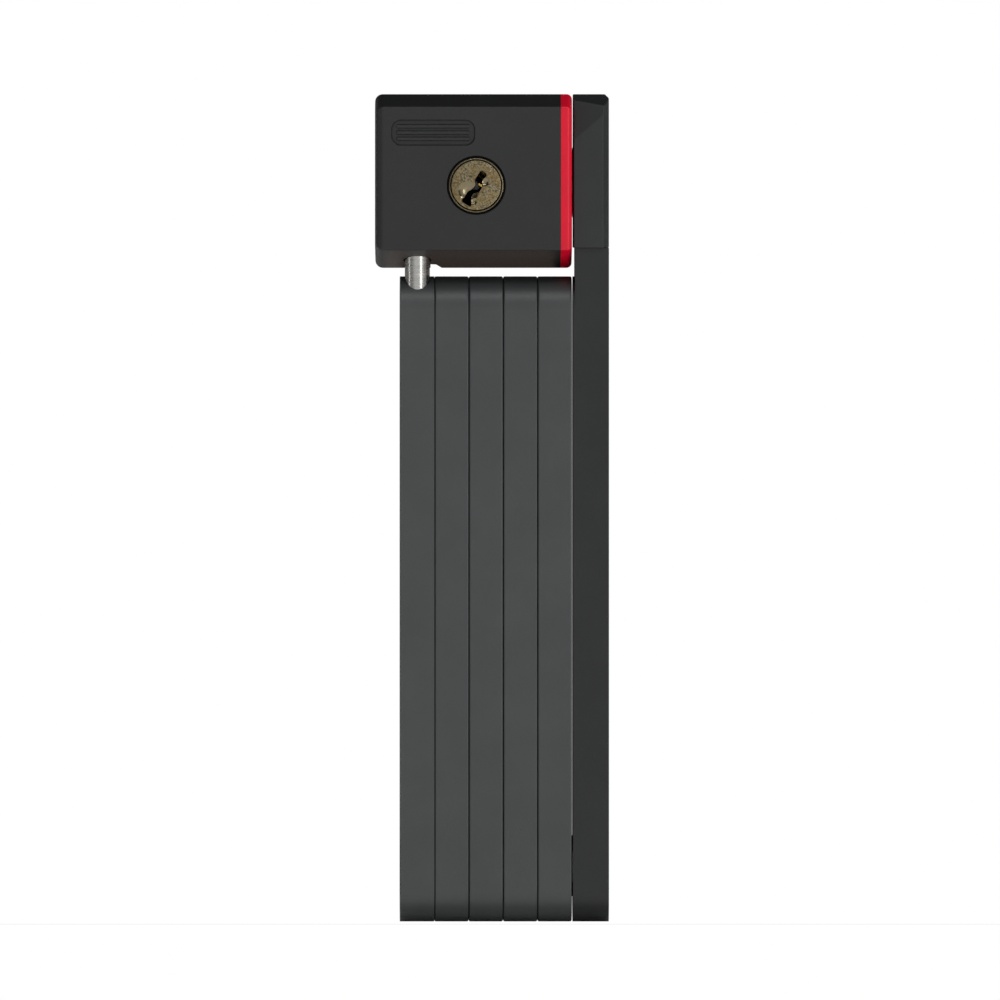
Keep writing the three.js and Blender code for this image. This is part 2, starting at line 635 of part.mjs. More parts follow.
const cylinderGroup = new THREE.Group()
cylinderGroup.position.set(cylinder.x, 0, cylinder.z)
cylinderGroup.rotation.y = CYLINDER_TILT
group.add(cylinderGroup)
place('cylinder_housing', makeHousing(), brass, cylinderGroup)
place('spring_cover', block(-BIBLE_HALF, BIBLE_HALF, firstChamber - 2, lastChamber + 2.4,
  BIBLE_TOP + SEAT, BIBLE_TOP + 0.8), brass, cylinderGroup)
place('cylinder_plug', makePlug(), brass, cylinderGroup)
place('cam', makeCam(), steel, cylinderGroup)
place('cam_screw', turned('y', [
  [0, camFront - 1.4], [1, camFront - 1.4], [1, camBack + SEAT],
  [2.2, camBack + SEAT], [2.2, camBack + 0.8], [0, camBack + 0.8],
], [0, 0], SMALL_ROUND), steel, cylinderGroup)
place('plug_clip', ring('y', 3.2 + SEAT, 6.8, barrelBack + RUN + SEAT, barrelBack + 0.95)
  .subtract(block(-1.2, 1.2, barrelBack, camFront, -8, 0)), springSteel, cylinderGroup)
for (let i = 0; i < PIN_COUNT; i += 1) {
  place(`key_pin_${i + 1}`, makeKeyPin(i), brass, cylinderGroup)
  place(`driver_pin_${i + 1}`, makeDriverPin(i), steel, cylinderGroup)
  place(`pin_spring_${i + 1}`, makePinSpring(i), springSteel, cylinderGroup)
}

place('latch', makeLatch(), steel)
place('latch_spring', spring([SPRING_X, springY], LATCH_SPRING_R, LATCH_SPRING_WIRE,
  latch.top + SEAT, springTop - SEAT, SPRING_TURNS), springSteel)
place('swivel_pin', makeSwivelPin(), steel)
place('swivel_ring', makeSwivelRing(), springSteel)
place('pin_dowel', dowelRod(), steel)

bars.forEach((_, i) => {
  place(`steel_bar_${i + 1}`, makeSteel(i), steel)
  place(`bar_sheath_${i + 1}`, makeSheath(i), i === bars.length - 1 ? headPlastic : coating)
})
for (let i = 0; i < bars.length - 1; i += 1) {
  place(`rivet_${i + 1}`, makeRivet(i), steel)
  place(`rivet_washer_${i + 1}`, makeWasher(i), springSteel)
}
place('head_cap', makeHeadCap(), headPlastic)
place('locking_stud', makeStud(), steel)

export default group
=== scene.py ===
"""Looks of a folding bike lock: lock body, folded bars, key cylinder and the stage they stand on."""
import math

import bmesh
import bpy
from bpy.props import FloatProperty, FloatVectorProperty, IntProperty, PointerProperty
from mathutils import Matrix, Vector


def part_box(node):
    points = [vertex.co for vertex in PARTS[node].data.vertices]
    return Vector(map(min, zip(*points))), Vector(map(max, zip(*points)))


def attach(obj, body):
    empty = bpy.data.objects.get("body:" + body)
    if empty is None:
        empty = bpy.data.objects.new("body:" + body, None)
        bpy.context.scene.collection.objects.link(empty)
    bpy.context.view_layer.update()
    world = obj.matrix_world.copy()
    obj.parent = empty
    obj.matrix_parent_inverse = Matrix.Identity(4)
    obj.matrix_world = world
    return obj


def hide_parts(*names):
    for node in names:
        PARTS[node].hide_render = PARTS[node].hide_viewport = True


bl_info = {
    "name": "Folding Bike Lock",
    "version": (1, 0, 0),
    "blender": (4, 5, 0),
    "location": "View3D > Sidebar > Bike Lock",
    "description": "Builds the finished look of a folding bike lock around its mechanical parts",
    "category": "Object",
}

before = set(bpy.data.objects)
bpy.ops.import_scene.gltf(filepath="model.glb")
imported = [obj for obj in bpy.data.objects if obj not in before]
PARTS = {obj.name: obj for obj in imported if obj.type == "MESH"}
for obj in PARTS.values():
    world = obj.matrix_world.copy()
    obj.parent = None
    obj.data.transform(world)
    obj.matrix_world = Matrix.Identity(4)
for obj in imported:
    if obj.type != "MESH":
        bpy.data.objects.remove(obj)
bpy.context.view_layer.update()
MM = 0.001


def centre_of(node):
    """Middle of a part's box, as x, y and z."""
    low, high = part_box(node)
    return [(a + b) / 2 for a, b in zip(low, high)]


SLEEVE_LOW, SLEEVE_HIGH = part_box("body_sleeve")
PLATE_LOW, PLATE_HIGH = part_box("end_cap")
HEAD_LOW, HEAD_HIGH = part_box("head_cap")
BAR_LOW, BAR_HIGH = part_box("bar_sheath_1")
LAST_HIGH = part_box("bar_sheath_6")[1]
LAST_STEEL_LOW, LAST_STEEL_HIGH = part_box("steel_bar_6")
PIN_LOW, PIN_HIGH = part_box("swivel_pin")
STUD_LOW, STUD_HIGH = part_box("locking_stud")
PLUG_LOW, PLUG_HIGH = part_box("cylinder_plug")

LOW_RIVET_Z = centre_of("rivet_1")[2]
HIGH_RIVET_Z = centre_of("rivet_2")[2]
STUD_Z = centre_of("locking_stud")[2]
PIN_X, PIN_Y, _ = centre_of("swivel_pin")
CYLINDER_X, _, CYLINDER_Z = centre_of("cam_screw")
AXIS = (CYLINDER_X, CYLINDER_Z)
CYLINDER_TILT = math.radians(32)
PIN_R = (PIN_HIGH.x - PIN_LOW.x) / 2
STUD_R = (STUD_HIGH.z - STUD_LOW.z) / 2
BODY_FRONT, BODY_BACK = SLEEVE_LOW.y, SLEEVE_HIGH.y
BODY_BOTTOM, BODY_TOP = SLEEVE_LOW.z, SLEEVE_HIGH.z
BAR_WIDTH = 7.6 * MM
LAST_LEFT = LAST_HIGH.x - BAR_WIDTH
SEAT = 0.1 * MM  # play between a coating or cover and the steel in it
SMOOTH_ANGLE = math.radians(32)
MERGE = 1e-7  # points closer than this are one point


# --- settings ---
def length(name, description, millimetres, low=0.0, high=300.0):
    return FloatProperty(name=name, description=description, default=millimetres * MM, min=low * MM,
                         max=high * MM, unit="LENGTH", subtype="DISTANCE", precision=5)


def colour(name, description, hexa):
    return FloatVectorProperty(name=name, description=description, default=linear(hexa), size=4,
                               min=0.0, max=1.0, subtype="COLOR")


def linear(hexa):
    """sRGB hex value as linear RGBA."""
    channels = [int(hexa[i:i + 2], 16) / 255 for i in (1, 3, 5)]
    return tuple(c / 12.92 if c <= 0.04045 else ((c + 0.055) / 1.055) ** 2.4 for c in channels) + (1.0,)


class LockBodySettings(bpy.types.PropertyGroup):
    end_round: length("End rounding", "Rounding of the body's left end", 1.7)
    edge_round: length("Edge rounding", "Rounding of the long edges of the body", 0.55)
    wall: length("Wall", "Wall of the body sleeve", 2.0)
    recess_depth: length("Recess depth", "Depth of the grip recess on the front", 0.5)
    rib_count: IntProperty(name="Ribs", description="Ribs in the grip recess", default=3, min=1, max=8)
    rib_width: length("Rib width", "Width of one rib", 0.95)
    plastic: colour("Body plastic", "Colour of the moulded body", "#1c1d1d")
    plate: colour("End plate", "Colour of the end plate", "#e4062d")


class BarSettings(bpy.types.PropertyGroup):
    corner: length("Corner radius", "Radius of the bar ends, seen from the side", 7.6)
    edge: length("Edge rounding", "Rounding of the coating's edges", 0.42)
    recess: length("Rivet recess", "Radius of the opening round a rivet head", 7.2)
    coat: length("End coating", "Coating on the narrow sides of the steel", 1.0)
    coating: colour("Coating", "Colour of the coating of the folded bars", "#343738")
    last_coating: colour("Last coating", "Colour of the coating of the last bar", "#1f2121")


class CylinderSettings(bpy.types.PropertyGroup):
    plug_radius: length("Plug radius", "Radius of the key plug", 5.65)
    nose_radius: length("Nose radius", "Radius of the ring round the plug", 6.15)
    barrel_radius: length("Barrel radius", "Radius of the cylinder inside the body", 8.0)
    dish: length("Dish radius", "Radius of the shallow dish beside the keyway", 2.3)
    face: colour("Plug face", "Colour of the nickel silver face", "#897e64")


class StageSettings(bpy.types.PropertyGroup):
    floor: colour("Floor", "Colour of the floor", "#f2f2f0")
    view_height: length("View height", "Height of the camera's axis", 94.4)
    view_shift: length("View shift", "Place of the camera's axis across the lock", 1.79)
    view_width: length("View width", "Width of the picture at the lock", 224.0)
    view_turn: FloatProperty(
        name="View turn", description="How far the camera stands to the left of the lock",
        default=math.radians(0.5), unit="ROTATION", subtype="ANGLE")


# --- node and mesh tools ---
def add(tree, kind, inputs=None, **settings):
    """Adds a node, sets its properties, and fills its inputs with values or links.
    A node given as a value stands for its first output."""
    node = tree.nodes.new(kind)
    for name, value in settings.items():
        setattr(node, name, value)
    for key, value in (inputs or {}).items():
        many = value if isinstance(value, list) else [value]
        for each in many:
            each = each.outputs[0] if isinstance(each, bpy.types.Node) else each
            if isinstance(each, bpy.types.NodeSocket):
                tree.links.new(each, node.inputs[key])
            else:
                node.inputs[key].default_value = each
    return node


def new_object(name, mesh):
    obj = bpy.data.objects.new(name, mesh)
    bpy.context.scene.collection.objects.link(obj)
    return obj


def settle(obj):
    """Makes what the modifiers give into the object's own mesh."""
    bpy.context.view_layer.update()
    graph = bpy.context.evaluated_depsgraph_get()
    mesh = bpy.data.meshes.new_from_object(obj.evaluated_get(graph), depsgraph=graph)
    obj.modifiers.clear()
    old = obj.data
    obj.data = mesh
    bpy.data.meshes.remove(old)
    return obj


def from_bmesh(name, bm):
    bmesh.ops.remove_doubles(bm, verts=bm.verts, dist=MERGE)
    bmesh.ops.recalc_face_normals(bm, faces=bm.faces)
    mesh = bpy.data.meshes.new(name)
    bm.to_mesh(mesh)
    bm.free()
    return new_object(name, mesh)


def loft(name, rings):
    """Closed solid through rings of equal length."""
    bm = bmesh.new()
    rows = [[bm.verts.new(p) for p in ring] for ring in rings]
    for before, after in zip(rows, rows[1:]):
        for i in range(len(before)):
            k = (i + 1) % len(before)
            bm.faces.new((before[i], before[k], after[k], after[i]))
    bm.faces.new(rows[0])
    bm.faces.new(rows[-1])
    return from_bmesh(name, bm)


def turned(name, axis, profile, centre=(0.0, 0.0), sides=96):
    """Turned solid. Profile points are (radius, place along the axis), closed on the axis."""
    bm = bmesh.new()
    rows = []
    for i in range(sides):
        angle = 2 * math.pi * i / sides
        c, s = math.cos(angle), math.sin(angle)
        rows.append([bm.verts.new(placed(axis, r * c, r * s, h, centre)) for r, h in profile])
    for i in range(sides):
        a, b = rows[i], rows[(i + 1) % sides]
        for j in range(len(profile) - 1):
            bm.faces.new((a[j], a[j + 1], b[j + 1], b[j]))
    return from_bmesh(name, bm)


def rod(name, axis, radius, low, high, centre=(0.0, 0.0), sides=96):
    return turned(name, axis, [(0, low), (radius, low), (radius, high), (0, high)], centre, sides)


def placed(axis, u, v, h, centre):
    """Point at (u, v) round an axis through centre, h along it. Centre is (y, z), (x, z) or (x, y)."""
    p, q = centre
    return {"x": (h, p + u, q + v), "y": (p + u, h, q + v), "z": (p + u, q + v, h)}[axis]


def prism(name, axis, outline, low, high):
    return loft(name, [[placed(axis, u, v, h, (0, 0)) for u, v in outline] for h in (low, high)])


def rectangle(left, right, bottom, top):
    return [(left, bottom), (right, bottom), (right, top), (left, top)]


def rounded(points, radius, steps=6):
    """Outline with each corner turned into an arc."""
    out = []
    for i, p in enumerate(points):
        here = Vector(p)
        a = Vector(points[i - 1]) - here
        b = Vector(points[(i + 1) % len(points)]) - here
        half = a.angle(b) / 2
        reach = min(radius / math.tan(half), 0.49 * a.length, 0.49 * b.length)
        r = reach * math.tan(half)
        centre = here + (a.normalized() + b.normalized()).normalized() * (r / math.sin(half))
        start = here + a.normalized() * reach - centre
        end = here + b.normalized() * reach - centre
        turn = math.atan2(start.x * end.y - start.y * end.x, start.dot(end))
        for s in range(steps + 1):
            t = turn * s / steps
            out.append((centre.x + start.x * math.cos(t) - start.y * math.sin(t),
                        centre.y + start.x * math.sin(t) + start.y * math.cos(t)))
    return out


def inset(points, distance):
    """Outline with straight sides moved inwards. Points run counter-clockwise."""
    sides = []
    for i, p in enumerate(points):
        here, there = Vector(p), Vector(points[(i + 1) % len(points)])
        along = (there - here).normalized()
        sides.append((here + Vector((-along.y, along.x)) * distance, along))
    out = []
    for i, (start, along) in enumerate(sides):
        other, way = sides[i - 1]
        gap = other - start
        travel = (gap.x * way.y - gap.y * way.x) / (along.x * way.y - along.y * way.x)
        out.append(tuple(start + along * travel))
    return out


def carve(obj, cutters, operation="DIFFERENCE"):
    """Cuts the tools out of a solid, or joins them to it, and clears them away."""
    for tool in cutters:
        change = obj.modifiers.new("carve", "BOOLEAN")
        change.operation = operation
        change.solver = "EXACT"
        change.object = tool
    settle(obj)
    for tool in cutters:
        mesh = tool.data
        bpy.data.objects.remove(tool)
        bpy.data.meshes.remove(mesh)
    return obj


def soften(obj, width=0.0, segments=3, limit=40):
    """Rounds the edges, then shades the faces smooth with crisp corners left crisp."""
    if width > 0:
        edge = obj.modifiers.new("edge", "BEVEL")
        edge.width = width
        edge.segments = segments
        edge.limit_method = "ANGLE"
        edge.angle_limit = math.radians(limit)
        edge.use_clamp_overlap = True
        settle(obj)
    obj.data.shade_smooth()
    obj.data.set_sharp_from_angle(angle=SMOOTH_ANGLE)
    even = obj.modifiers.new("even", "WEIGHTED_NORMAL")
    even.keep_sharp = True
    return settle(obj)


def finish_piece(obj, look, body, nodes):
    obj.data.materials.clear()
    obj.data.materials.append(finish(look))
    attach(obj, body)
    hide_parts(*nodes)
    return obj


SOCKETS = {bool: "Bool", int: "Int", float: "Float", tuple: "Vector", type(None): "Rotation"}


def new_tree(name, fields):
    """Geometry Nodes tree with named inputs. Each default gives its socket's type; None is a rotation."""
    tree = bpy.data.node_groups.new(name, "GeometryNodeTree")
    tree.interface.new_socket("Geometry", in_out="OUTPUT", socket_type="NodeSocketGeometry")
    for label, default in fields.items():
        kind = SOCKETS[type(default)]
        socket = tree.interface.new_socket(label, in_out="INPUT", socket_type="NodeSocket" + kind)
        if default is not None:
            socket.default_value = default
    return tree, tree.nodes.new("NodeGroupInput").outputs


def end_tree(tree, geometry, material):
    real = add(tree, "GeometryNodeRealizeInstances", {"Geometry": geometry})
    made = add(tree, "GeometryNodeSetMaterial", {"Geometry": real, "Material": material})
    add(tree, "NodeGroupOutput", {"Geometry": made})


def grow(name, tree, values):
    """Runs a tree on an empty mesh and keeps the result as a plain mesh."""
    obj = new_object(name, bpy.data.meshes.new(name))
    maker = obj.modifiers.new("make", "NODES")
    maker.node_group = tree
    for item in tree.interface.items_tree:
        if item.in_out == "INPUT" and item.name in values:
            maker[item.identifier] = values[item.name]
    return settle(obj)


# --- materials ---
def surface(name, base, roughness, metallic=0.0, **shader):
    """Material with Object coordinates ready, as (material, tree, shader node, coordinates)."""
    material = bpy.data.materials.new(name)
    material.use_nodes = True
    tree = material.node_tree
    tree.nodes.clear()
    inputs = {"Base Color": base, "Roughness": roughness, "Metallic": metallic, **shader}
    node = add(tree, "ShaderNodeBsdfPrincipled", inputs)
    add(tree, "ShaderNodeOutputMaterial", {"Surface": node})
    place = add(tree, "ShaderNodeTexCoord").outputs["Object"]
    return material, tree, node, place


def mottle(tree, node, place, base, size, shades, detail=3.0):
    """Lets the colour wander between two shades of the base, in patches of about size millimetres."""
    patches = add(tree, "ShaderNodeTexNoise", {"Vector": place, "Scale": 1 / (size * MM), "Detail": detail})
    level = add(tree, "ShaderNodeMapRange", {"Value": patches, "From Min": 0.35, "From Max": 0.65})
    tone = add(tree, "ShaderNodeMix", {
        "Factor": level, 6: shade(base, shades[0]), 7: shade(base, shades[1])},
        data_type="RGBA").outputs[2]
    tree.links.new(tone, node.inputs["Base Color"])
    return tone


def grain(tree, node, place, size, dullness, height, strength, detail=2.0):
    """Raises grains of about size millimetres, and lets the roughness follow them between two values."""
    skin = add(tree, "ShaderNodeTexNoise", {"Vector": place, "Scale": 1 / (size * MM), "Detail": detail})
    dull = add(tree, "ShaderNodeMapRange", {
        "Value": skin, "From Min": 0.3, "From Max": 0.7, "To Min": dullness[0], "To Max": dullness[1]})
    relief = add(tree, "ShaderNodeBump", {"Height": skin, "Distance": height * MM, "Strength": strength})
    tree.links.new(dull.outputs[0], node.inputs["Roughness"])
    tree.links.new(relief.outputs[0], node.inputs["Normal"])


def shade(rgba, factor):
    return tuple(c * factor for c in rgba[:3]) + (1.0,)


def rubbery_coating(name, base, sheen):
    """Moulded thermoplastic rubber: satin, a fine leathery grain, and faint cloudy patches from handling."""
    material, tree, node, place = surface(name, base, 0.44, **{"Specular IOR Level": sheen})
    mottle(tree, node, place, base, 14, (0.9, 1.1))
    grain(tree, node, place, 0.35, (0.39, 0.49), 0.03, 0.5)
    return material


def textured_plastic(name, base, roughness=0.5, sheen=0.5):
    """Glass-filled nylon from a spark-eroded mould: dull black with an even sandy grain.
    The grain is 0.3 mm, coarser than real, so that it is seen from arm's length."""
    material, tree, node, place = surface(name, base, roughness, **{"Specular IOR Level": sheen})
    mottle(tree, node, place, base, 10, (0.92, 1.08))
    grain(tree, node, place, 0.3, (roughness - 0.07, roughness + 0.07), 0.03, 0.55)
    return material


def satin_red(name, base):
    """Moulded ABS, dyed red and half glossy: clear highlight along its rounded edge, very fine flow marks."""
    material, tree, node, place = surface(name, base, 0.34, **{"Specular IOR Level": 0.35})
    mottle(tree, node, place, base, 6, (0.95, 1.05))
    grain(tree, node, place, 0.5, (0.32, 0.36), 0.012, 0.4)
    return material


def blasted_nickel_silver(name, base):
    """Nickel silver, turned and bead blasted: pale yellowish metal with brown stains of use, its sparkle
    painted into the colour as bright and dark specks beside real grain bumps.
    The specks are drawn coarser than real beads, so that the painted sparkle is seen from arm's length."""
    material, tree, node, place = surface(name, base, 0.36, 1.0)
    # painted sparkle: bright and dark specks in the colour stand in for the glints of the blasted face
    painted_sparkle = mottle(tree, node, place, base, 0.36, (0.3, 1.4))
    grain(tree, node, place, 0.36, (0.42, 0.26), 0.1, 0.9, 3.0)
    stain = add(tree, "ShaderNodeTexNoise", {"Vector": place, "Scale": 1 / (2.4 * MM), "Detail": 3.0})
    amount = add(tree, "ShaderNodeMapRange", {
        "Value": stain, "From Min": 0.4, "From Max": 0.62, "To Max": 0.55})
    warm = add(tree, "ShaderNodeMix", {"Factor": amount, 6: painted_sparkle, 7: linear("#8a744a")}, data_type="RGBA")
    tree.links.new(warm.outputs[2], node.inputs["Base Color"])
    return material


RING_PITCH = 0.16  # in millimetres


def turned_metal(name, base, roughness, axis):
    """Metal turned or ground on a lathe: fine rings round its axis that stretch the highlight along it.
    The rings are coarser than real ones, so that they are seen from arm's length."""
    material, tree, node, place = surface(name, base, roughness, 1.0)
    stretch = {"x": (1, 0.04, 0.04), "y": (0.04, 1, 0.04), "z": (0.04, 0.04, 1)}[axis]
    rings = add(tree, "ShaderNodeMapping", {"Vector": place, "Scale": stretch})
    mottle(tree, node, rings, base, RING_PITCH, (0.92, 1.05), 2.0)
    grain(tree, node, rings, RING_PITCH, (roughness - 0.06, roughness + 0.08), 0.01, 0.5)
    return material


def plated_steel(name, base, roughness=0.32):
    """Rolled steel with bright zinc plating: cool grey, slightly cloudy, soft scratches."""
    material, tree, node, place = surface(name, base, roughness, 1.0)
    long_way = add(tree, "ShaderNodeMapping", {"Vector": place, "Scale": (1, 1, 0.05)})
    mottle(tree, node, place, base, 3, (0.8, 1.05), 4.0)
    grain(tree, node, long_way, 0.2, (roughness - 0.06, roughness + 0.1), 0.01, 0.4)
    return material


def cast_zinc(name, base):
    """Pressure-cast zinc alloy, unpolished: mid grey with a pebbled skin."""
    material, tree, node, place = surface(name, base, 0.5, 1.0)
    mottle(tree, node, place, base, 0.8, (0.75, 1.05), 4.0)
    grain(tree, node, place, 0.8, (0.45, 0.55), 0.05, 0.6, 4.0)
    return material


def load_materials():
    body = bpy.context.scene.lock_body
    bars = bpy.context.scene.lock_bars
    face = bpy.context.scene.lock_cylinder
    return {
        "coating": rubbery_coating("rubber_coating_grey", tuple(bars.coating), 0.75),
        "last_coating": rubbery_coating("rubber_coating_black", tuple(bars.last_coating), 0.42),
        "body": textured_plastic("nylon_black_sand_grain", tuple(body.plastic)),
        "head": textured_plastic("nylon_black_head", linear("#202223"), 0.46, 0.5),
        "red": satin_red("abs_red_satin", tuple(body.plate)),
        "face": blasted_nickel_silver("nickel_silver_bead_blasted", tuple(face.face)),
        "brass": turned_metal("brass_turned", linear("#c9a659"), 0.3, "z"),
        "nickel": turned_metal("nickel_silver_turned", linear("#8f8670"), 0.3, "y"),
        "worn": turned_metal("nickel_silver_worn_bright", linear("#8a7f66"), 0.2, "y"),
        "pin": turned_metal("steel_ground_z", linear("#c2c1bd"), 0.26, "z"),
        "stud": turned_metal("steel_ground_x", linear("#9a9996"), 0.28, "x"),
        "steel": plated_steel("steel_zinc_plated", linear("#a3a5a6")),
        "bar_steel": plated_steel("hardened_steel_strip", linear("#77797b"), 0.4),
        "cast": cast_zinc("zinc_die_cast", linear("#8b8d90")),
        # painted shade: a near-black matte finish put on the keyway's deep walls and behind the plug's nose,
        # where shade falls
        "painted_shade": textured_plastic("black_for_painted_keyway_shade", linear("#0c0b0a"), 0.6, 0.3),
        "wire": turned_metal("spring_wire_steel", linear("#b8babc"), 0.25, "z"),
    }


MATERIALS = {}


def finish(name):
    if not MATERIALS:
        MATERIALS.update(load_materials())
    return MATERIALS[name]


# --- shapes of the lock body ---
BEVEL_TOP = (5.0 * MM, 2.85 * MM)  # depth and height of the slopes
BEVEL_BOTTOM = (13.0 * MM, 4.0 * MM)
SHARP_END = 0.06 * MM  # rounding where sleeve and end plate meet
GRIP = (-22.6 * MM, -4.0 * MM, 173.9 * MM, 179.5 * MM)  # left, right, bottom and top of the grip recess
GRIP_CORNER = 2.1 * MM
KEY_HOLE_GAP = 0.45 * MM
KEY_HOLE_LIP = 0.12 * MM
STUD_PLAY = 0.35 * MM


def body_outline():
    """Section of the body in (y, z), counter-clockwise seen from the right."""
    right = [
        (BODY_BACK - BEVEL_BOTTOM[0], BODY_BOTTOM), (BODY_BACK, BODY_BOTTOM + BEVEL_BOTTOM[1]),
        (BODY_BACK, BODY_TOP - BEVEL_TOP[1]), (BODY_BACK - BEVEL_TOP[0], BODY_TOP),
    ]
    return right + [(-y, z) for y, z in reversed(right)]


def body_ring(x, distance, radius):
    outline = rounded(inset(body_outline(), distance), radius)
    return [(x, y, z) for y, z in outline]


def body_solid(name, low, high, round_low, round_high, edge, steps=8):
    """Body section between two places, with each end rounded by its own radius."""
    rings = []
    for i in range(steps + 1):
        t = math.pi / 2 * i / steps
        rings.append((low + round_low * (1 - math.cos(t)), round_low * (1 - math.sin(t))))
    for i in reversed(range(steps + 1)):
        t = math.pi / 2 * i / steps
        rings.append((high - round_high * (1 - math.cos(t)), round_high * (1 - math.sin(t))))
    return loft(name, [body_ring(x, d, edge) for x, d in rings])


def arc(centre_z, radius, start, end, steps):
    """Arc in (y, z) about a centre on the middle plane."""
    turns = [start + (end - start) * i / steps for i in range(steps + 1)]
    return [(radius * math.cos(t), centre_z + radius * math.sin(t)) for t in turns]


def stud_slot(low, high):
    """Room that the stud needs to leave the body to the rear, wherever the bars hinge."""
    clear = STUD_R + STUD_PLAY
    outer = STUD_Z - LOW_RIVET_Z + clear
    inner = STUD_Z - HIGH_RIVET_Z - clear
    leave = BODY_BACK + 1 * MM
    outline = arc(STUD_Z, clear, math.pi / 2, math.pi * 1.5, 20)
    outline += arc(HIGH_RIVET_Z, inner, math.pi / 2, math.acos(leave / inner), 20)[1:]
    outline += arc(LOW_RIVET_Z, outer, math.acos(leave / outer), math.pi / 2, 20)[:-1]
    return prism("slot_tool", "x", outline, low, high)


def rib_tree(material):
    """Row of round-topped ribs along X, one above the other."""
    tree, given = new_tree("grip_ribs", {
        "Count": 3, "Pitch": (0, 0, 0.001), "Start": (-0.005, 0, 0), "End": (0.005, 0, 0),
        "Radius": 0.0005, "Place": (0, 0, 0),
    })
    row = add(tree, "GeometryNodeMeshLine", {"Count": given["Count"], "Offset": given["Pitch"],
                                             "Start Location": given["Place"]})
    line = add(tree, "GeometryNodeCurvePrimitiveLine", {"Start": given["Start"], "End": given["End"]})
    section = add(tree, "GeometryNodeCurvePrimitiveCircle", {"Resolution": 24, "Radius": given["Radius"]})
    rod = add(tree, "GeometryNodeCurveToMesh", {"Curve": line, "Profile Curve": section, "Fill Caps": True})
    ribs = add(tree, "GeometryNodeInstanceOnPoints", {"Points": row, "Instance": rod})
    end_tree(tree, ribs, material)
    return tree


def build_sleeve(s):
    left, right = SLEEVE_LOW.x, PLATE_LOW.x - 0.01 * MM
    shell = body_solid("body_shell", left, right, s.end_round, SHARP_END, s.edge_round)
    room = [[(x, y, z) for y, z in rounded(inset(body_outline(), s.wall), 0.4 * MM)]
            for x in (left + s.wall, right + 2 * MM)]
    hole, lip = bpy.context.scene.lock_cylinder.nose_radius + KEY_HOLE_GAP, KEY_HOLE_LIP
    key_hole = turned("key_hole", "y", [
        (0, BODY_FRONT - MM), (hole + lip, BODY_FRONT - MM), (hole + lip, BODY_FRONT + 0.02 * MM),
        (hole + lip * 0.35, BODY_FRONT + lip * 0.4), (hole, BODY_FRONT + lip * 1.1),
        (hole, BODY_FRONT + s.wall + MM), (0, BODY_FRONT + s.wall + MM)], AXIS)
    pin_hole = rod("pin_hole", "z", PIN_R + 0.3 * MM, BODY_BOTTOM - MM, BODY_BOTTOM + 10 * MM,
                   (PIN_X, PIN_Y), 64)
    relief = prism("relief", "y", [
        (PIN_X + 3 * MM, BODY_BOTTOM + 0.8 * MM), (PIN_X + 4.3 * MM, BODY_BOTTOM + 0.75 * MM),
        (PIN_X + 5.6 * MM, BODY_BOTTOM - 0.01 * MM), (PIN_X + 5.6 * MM, BODY_BOTTOM - MM),
        (PIN_X + 3 * MM, BODY_BOTTOM - MM)], BODY_FRONT - MM, BODY_BACK + MM)
    grip_left, grip_right, grip_bottom, grip_top = GRIP
    rings = []
    for y, out in ((-MM, 0.12 * MM), (0.0, 0.12 * MM), (0.1 * MM, 0.02 * MM), (s.recess_depth, -0.1 * MM)):
        corners = rounded(inset(rectangle(*GRIP), -out), GRIP_CORNER, 10)
        rings.append([(x, BODY_FRONT + y, z) for x, z in corners])
    cutters = [loft("room", room), key_hole, pin_hole, relief, loft("recess", rings),
               stud_slot(STUD_LOW.x - STUD_PLAY, right + 2 * MM)]
    carve(shell, cutters)
    pitch = (grip_top - grip_bottom) / (s.rib_count + 1)
    reach = (grip_right - grip_left) / 2 - 1.2 * MM
    ribs = grow("grip_ribs", rib_tree(finish("body")), {
        "Count": s.rib_count, "Pitch": (0, 0, pitch), "Start": (-reach, 0, 0), "End": (reach, 0, 0),
        "Radius": s.rib_width / 2,
        "Place": ((grip_left + grip_right) / 2, BODY_FRONT + s.recess_depth, grip_bottom + pitch)})
    carve(shell, [ribs], "UNION")
    soften(shell)
    finish_piece(shell, "body", "lock_body", ["body_sleeve"])


SCREW_SEATS = [(-8.5, 154.4), (-8.5, 176.8), (8.5, 152.2)]  # y and z
SCREW_HEAD_R = 2.5 * MM
SCREW_R = 1.3 * MM
SCREW_HEAD_H = 1.3 * MM
SHANK_SINK = 0.78 * MM  # from the face of the head to the shank


def build_plate(s):
    left, right = PLATE_LOW.x, PLATE_HIGH.x
    plate = body_solid("end_plate", left, right, SHARP_END, 1.15 * MM, s.edge_round)
    cutters = [stud_slot(left - MM, right + MM)]
    for y, z in SCREW_SEATS:
        cutters.append(turned("seat", "x", [
            (0, left - MM), (1.45 * MM, left - MM), (1.45 * MM, right - 1.45 * MM),
            (2.65 * MM, right - 0.45 * MM), (2.65 * MM, right - 0.1 * MM), (2.85 * MM, right + MM),
            (0, right + MM)], (y * MM, z * MM), 48))
    carve(plate, cutters)
    soften(plate)
    finish_piece(plate, "red", "lock_body", ["end_cap"])


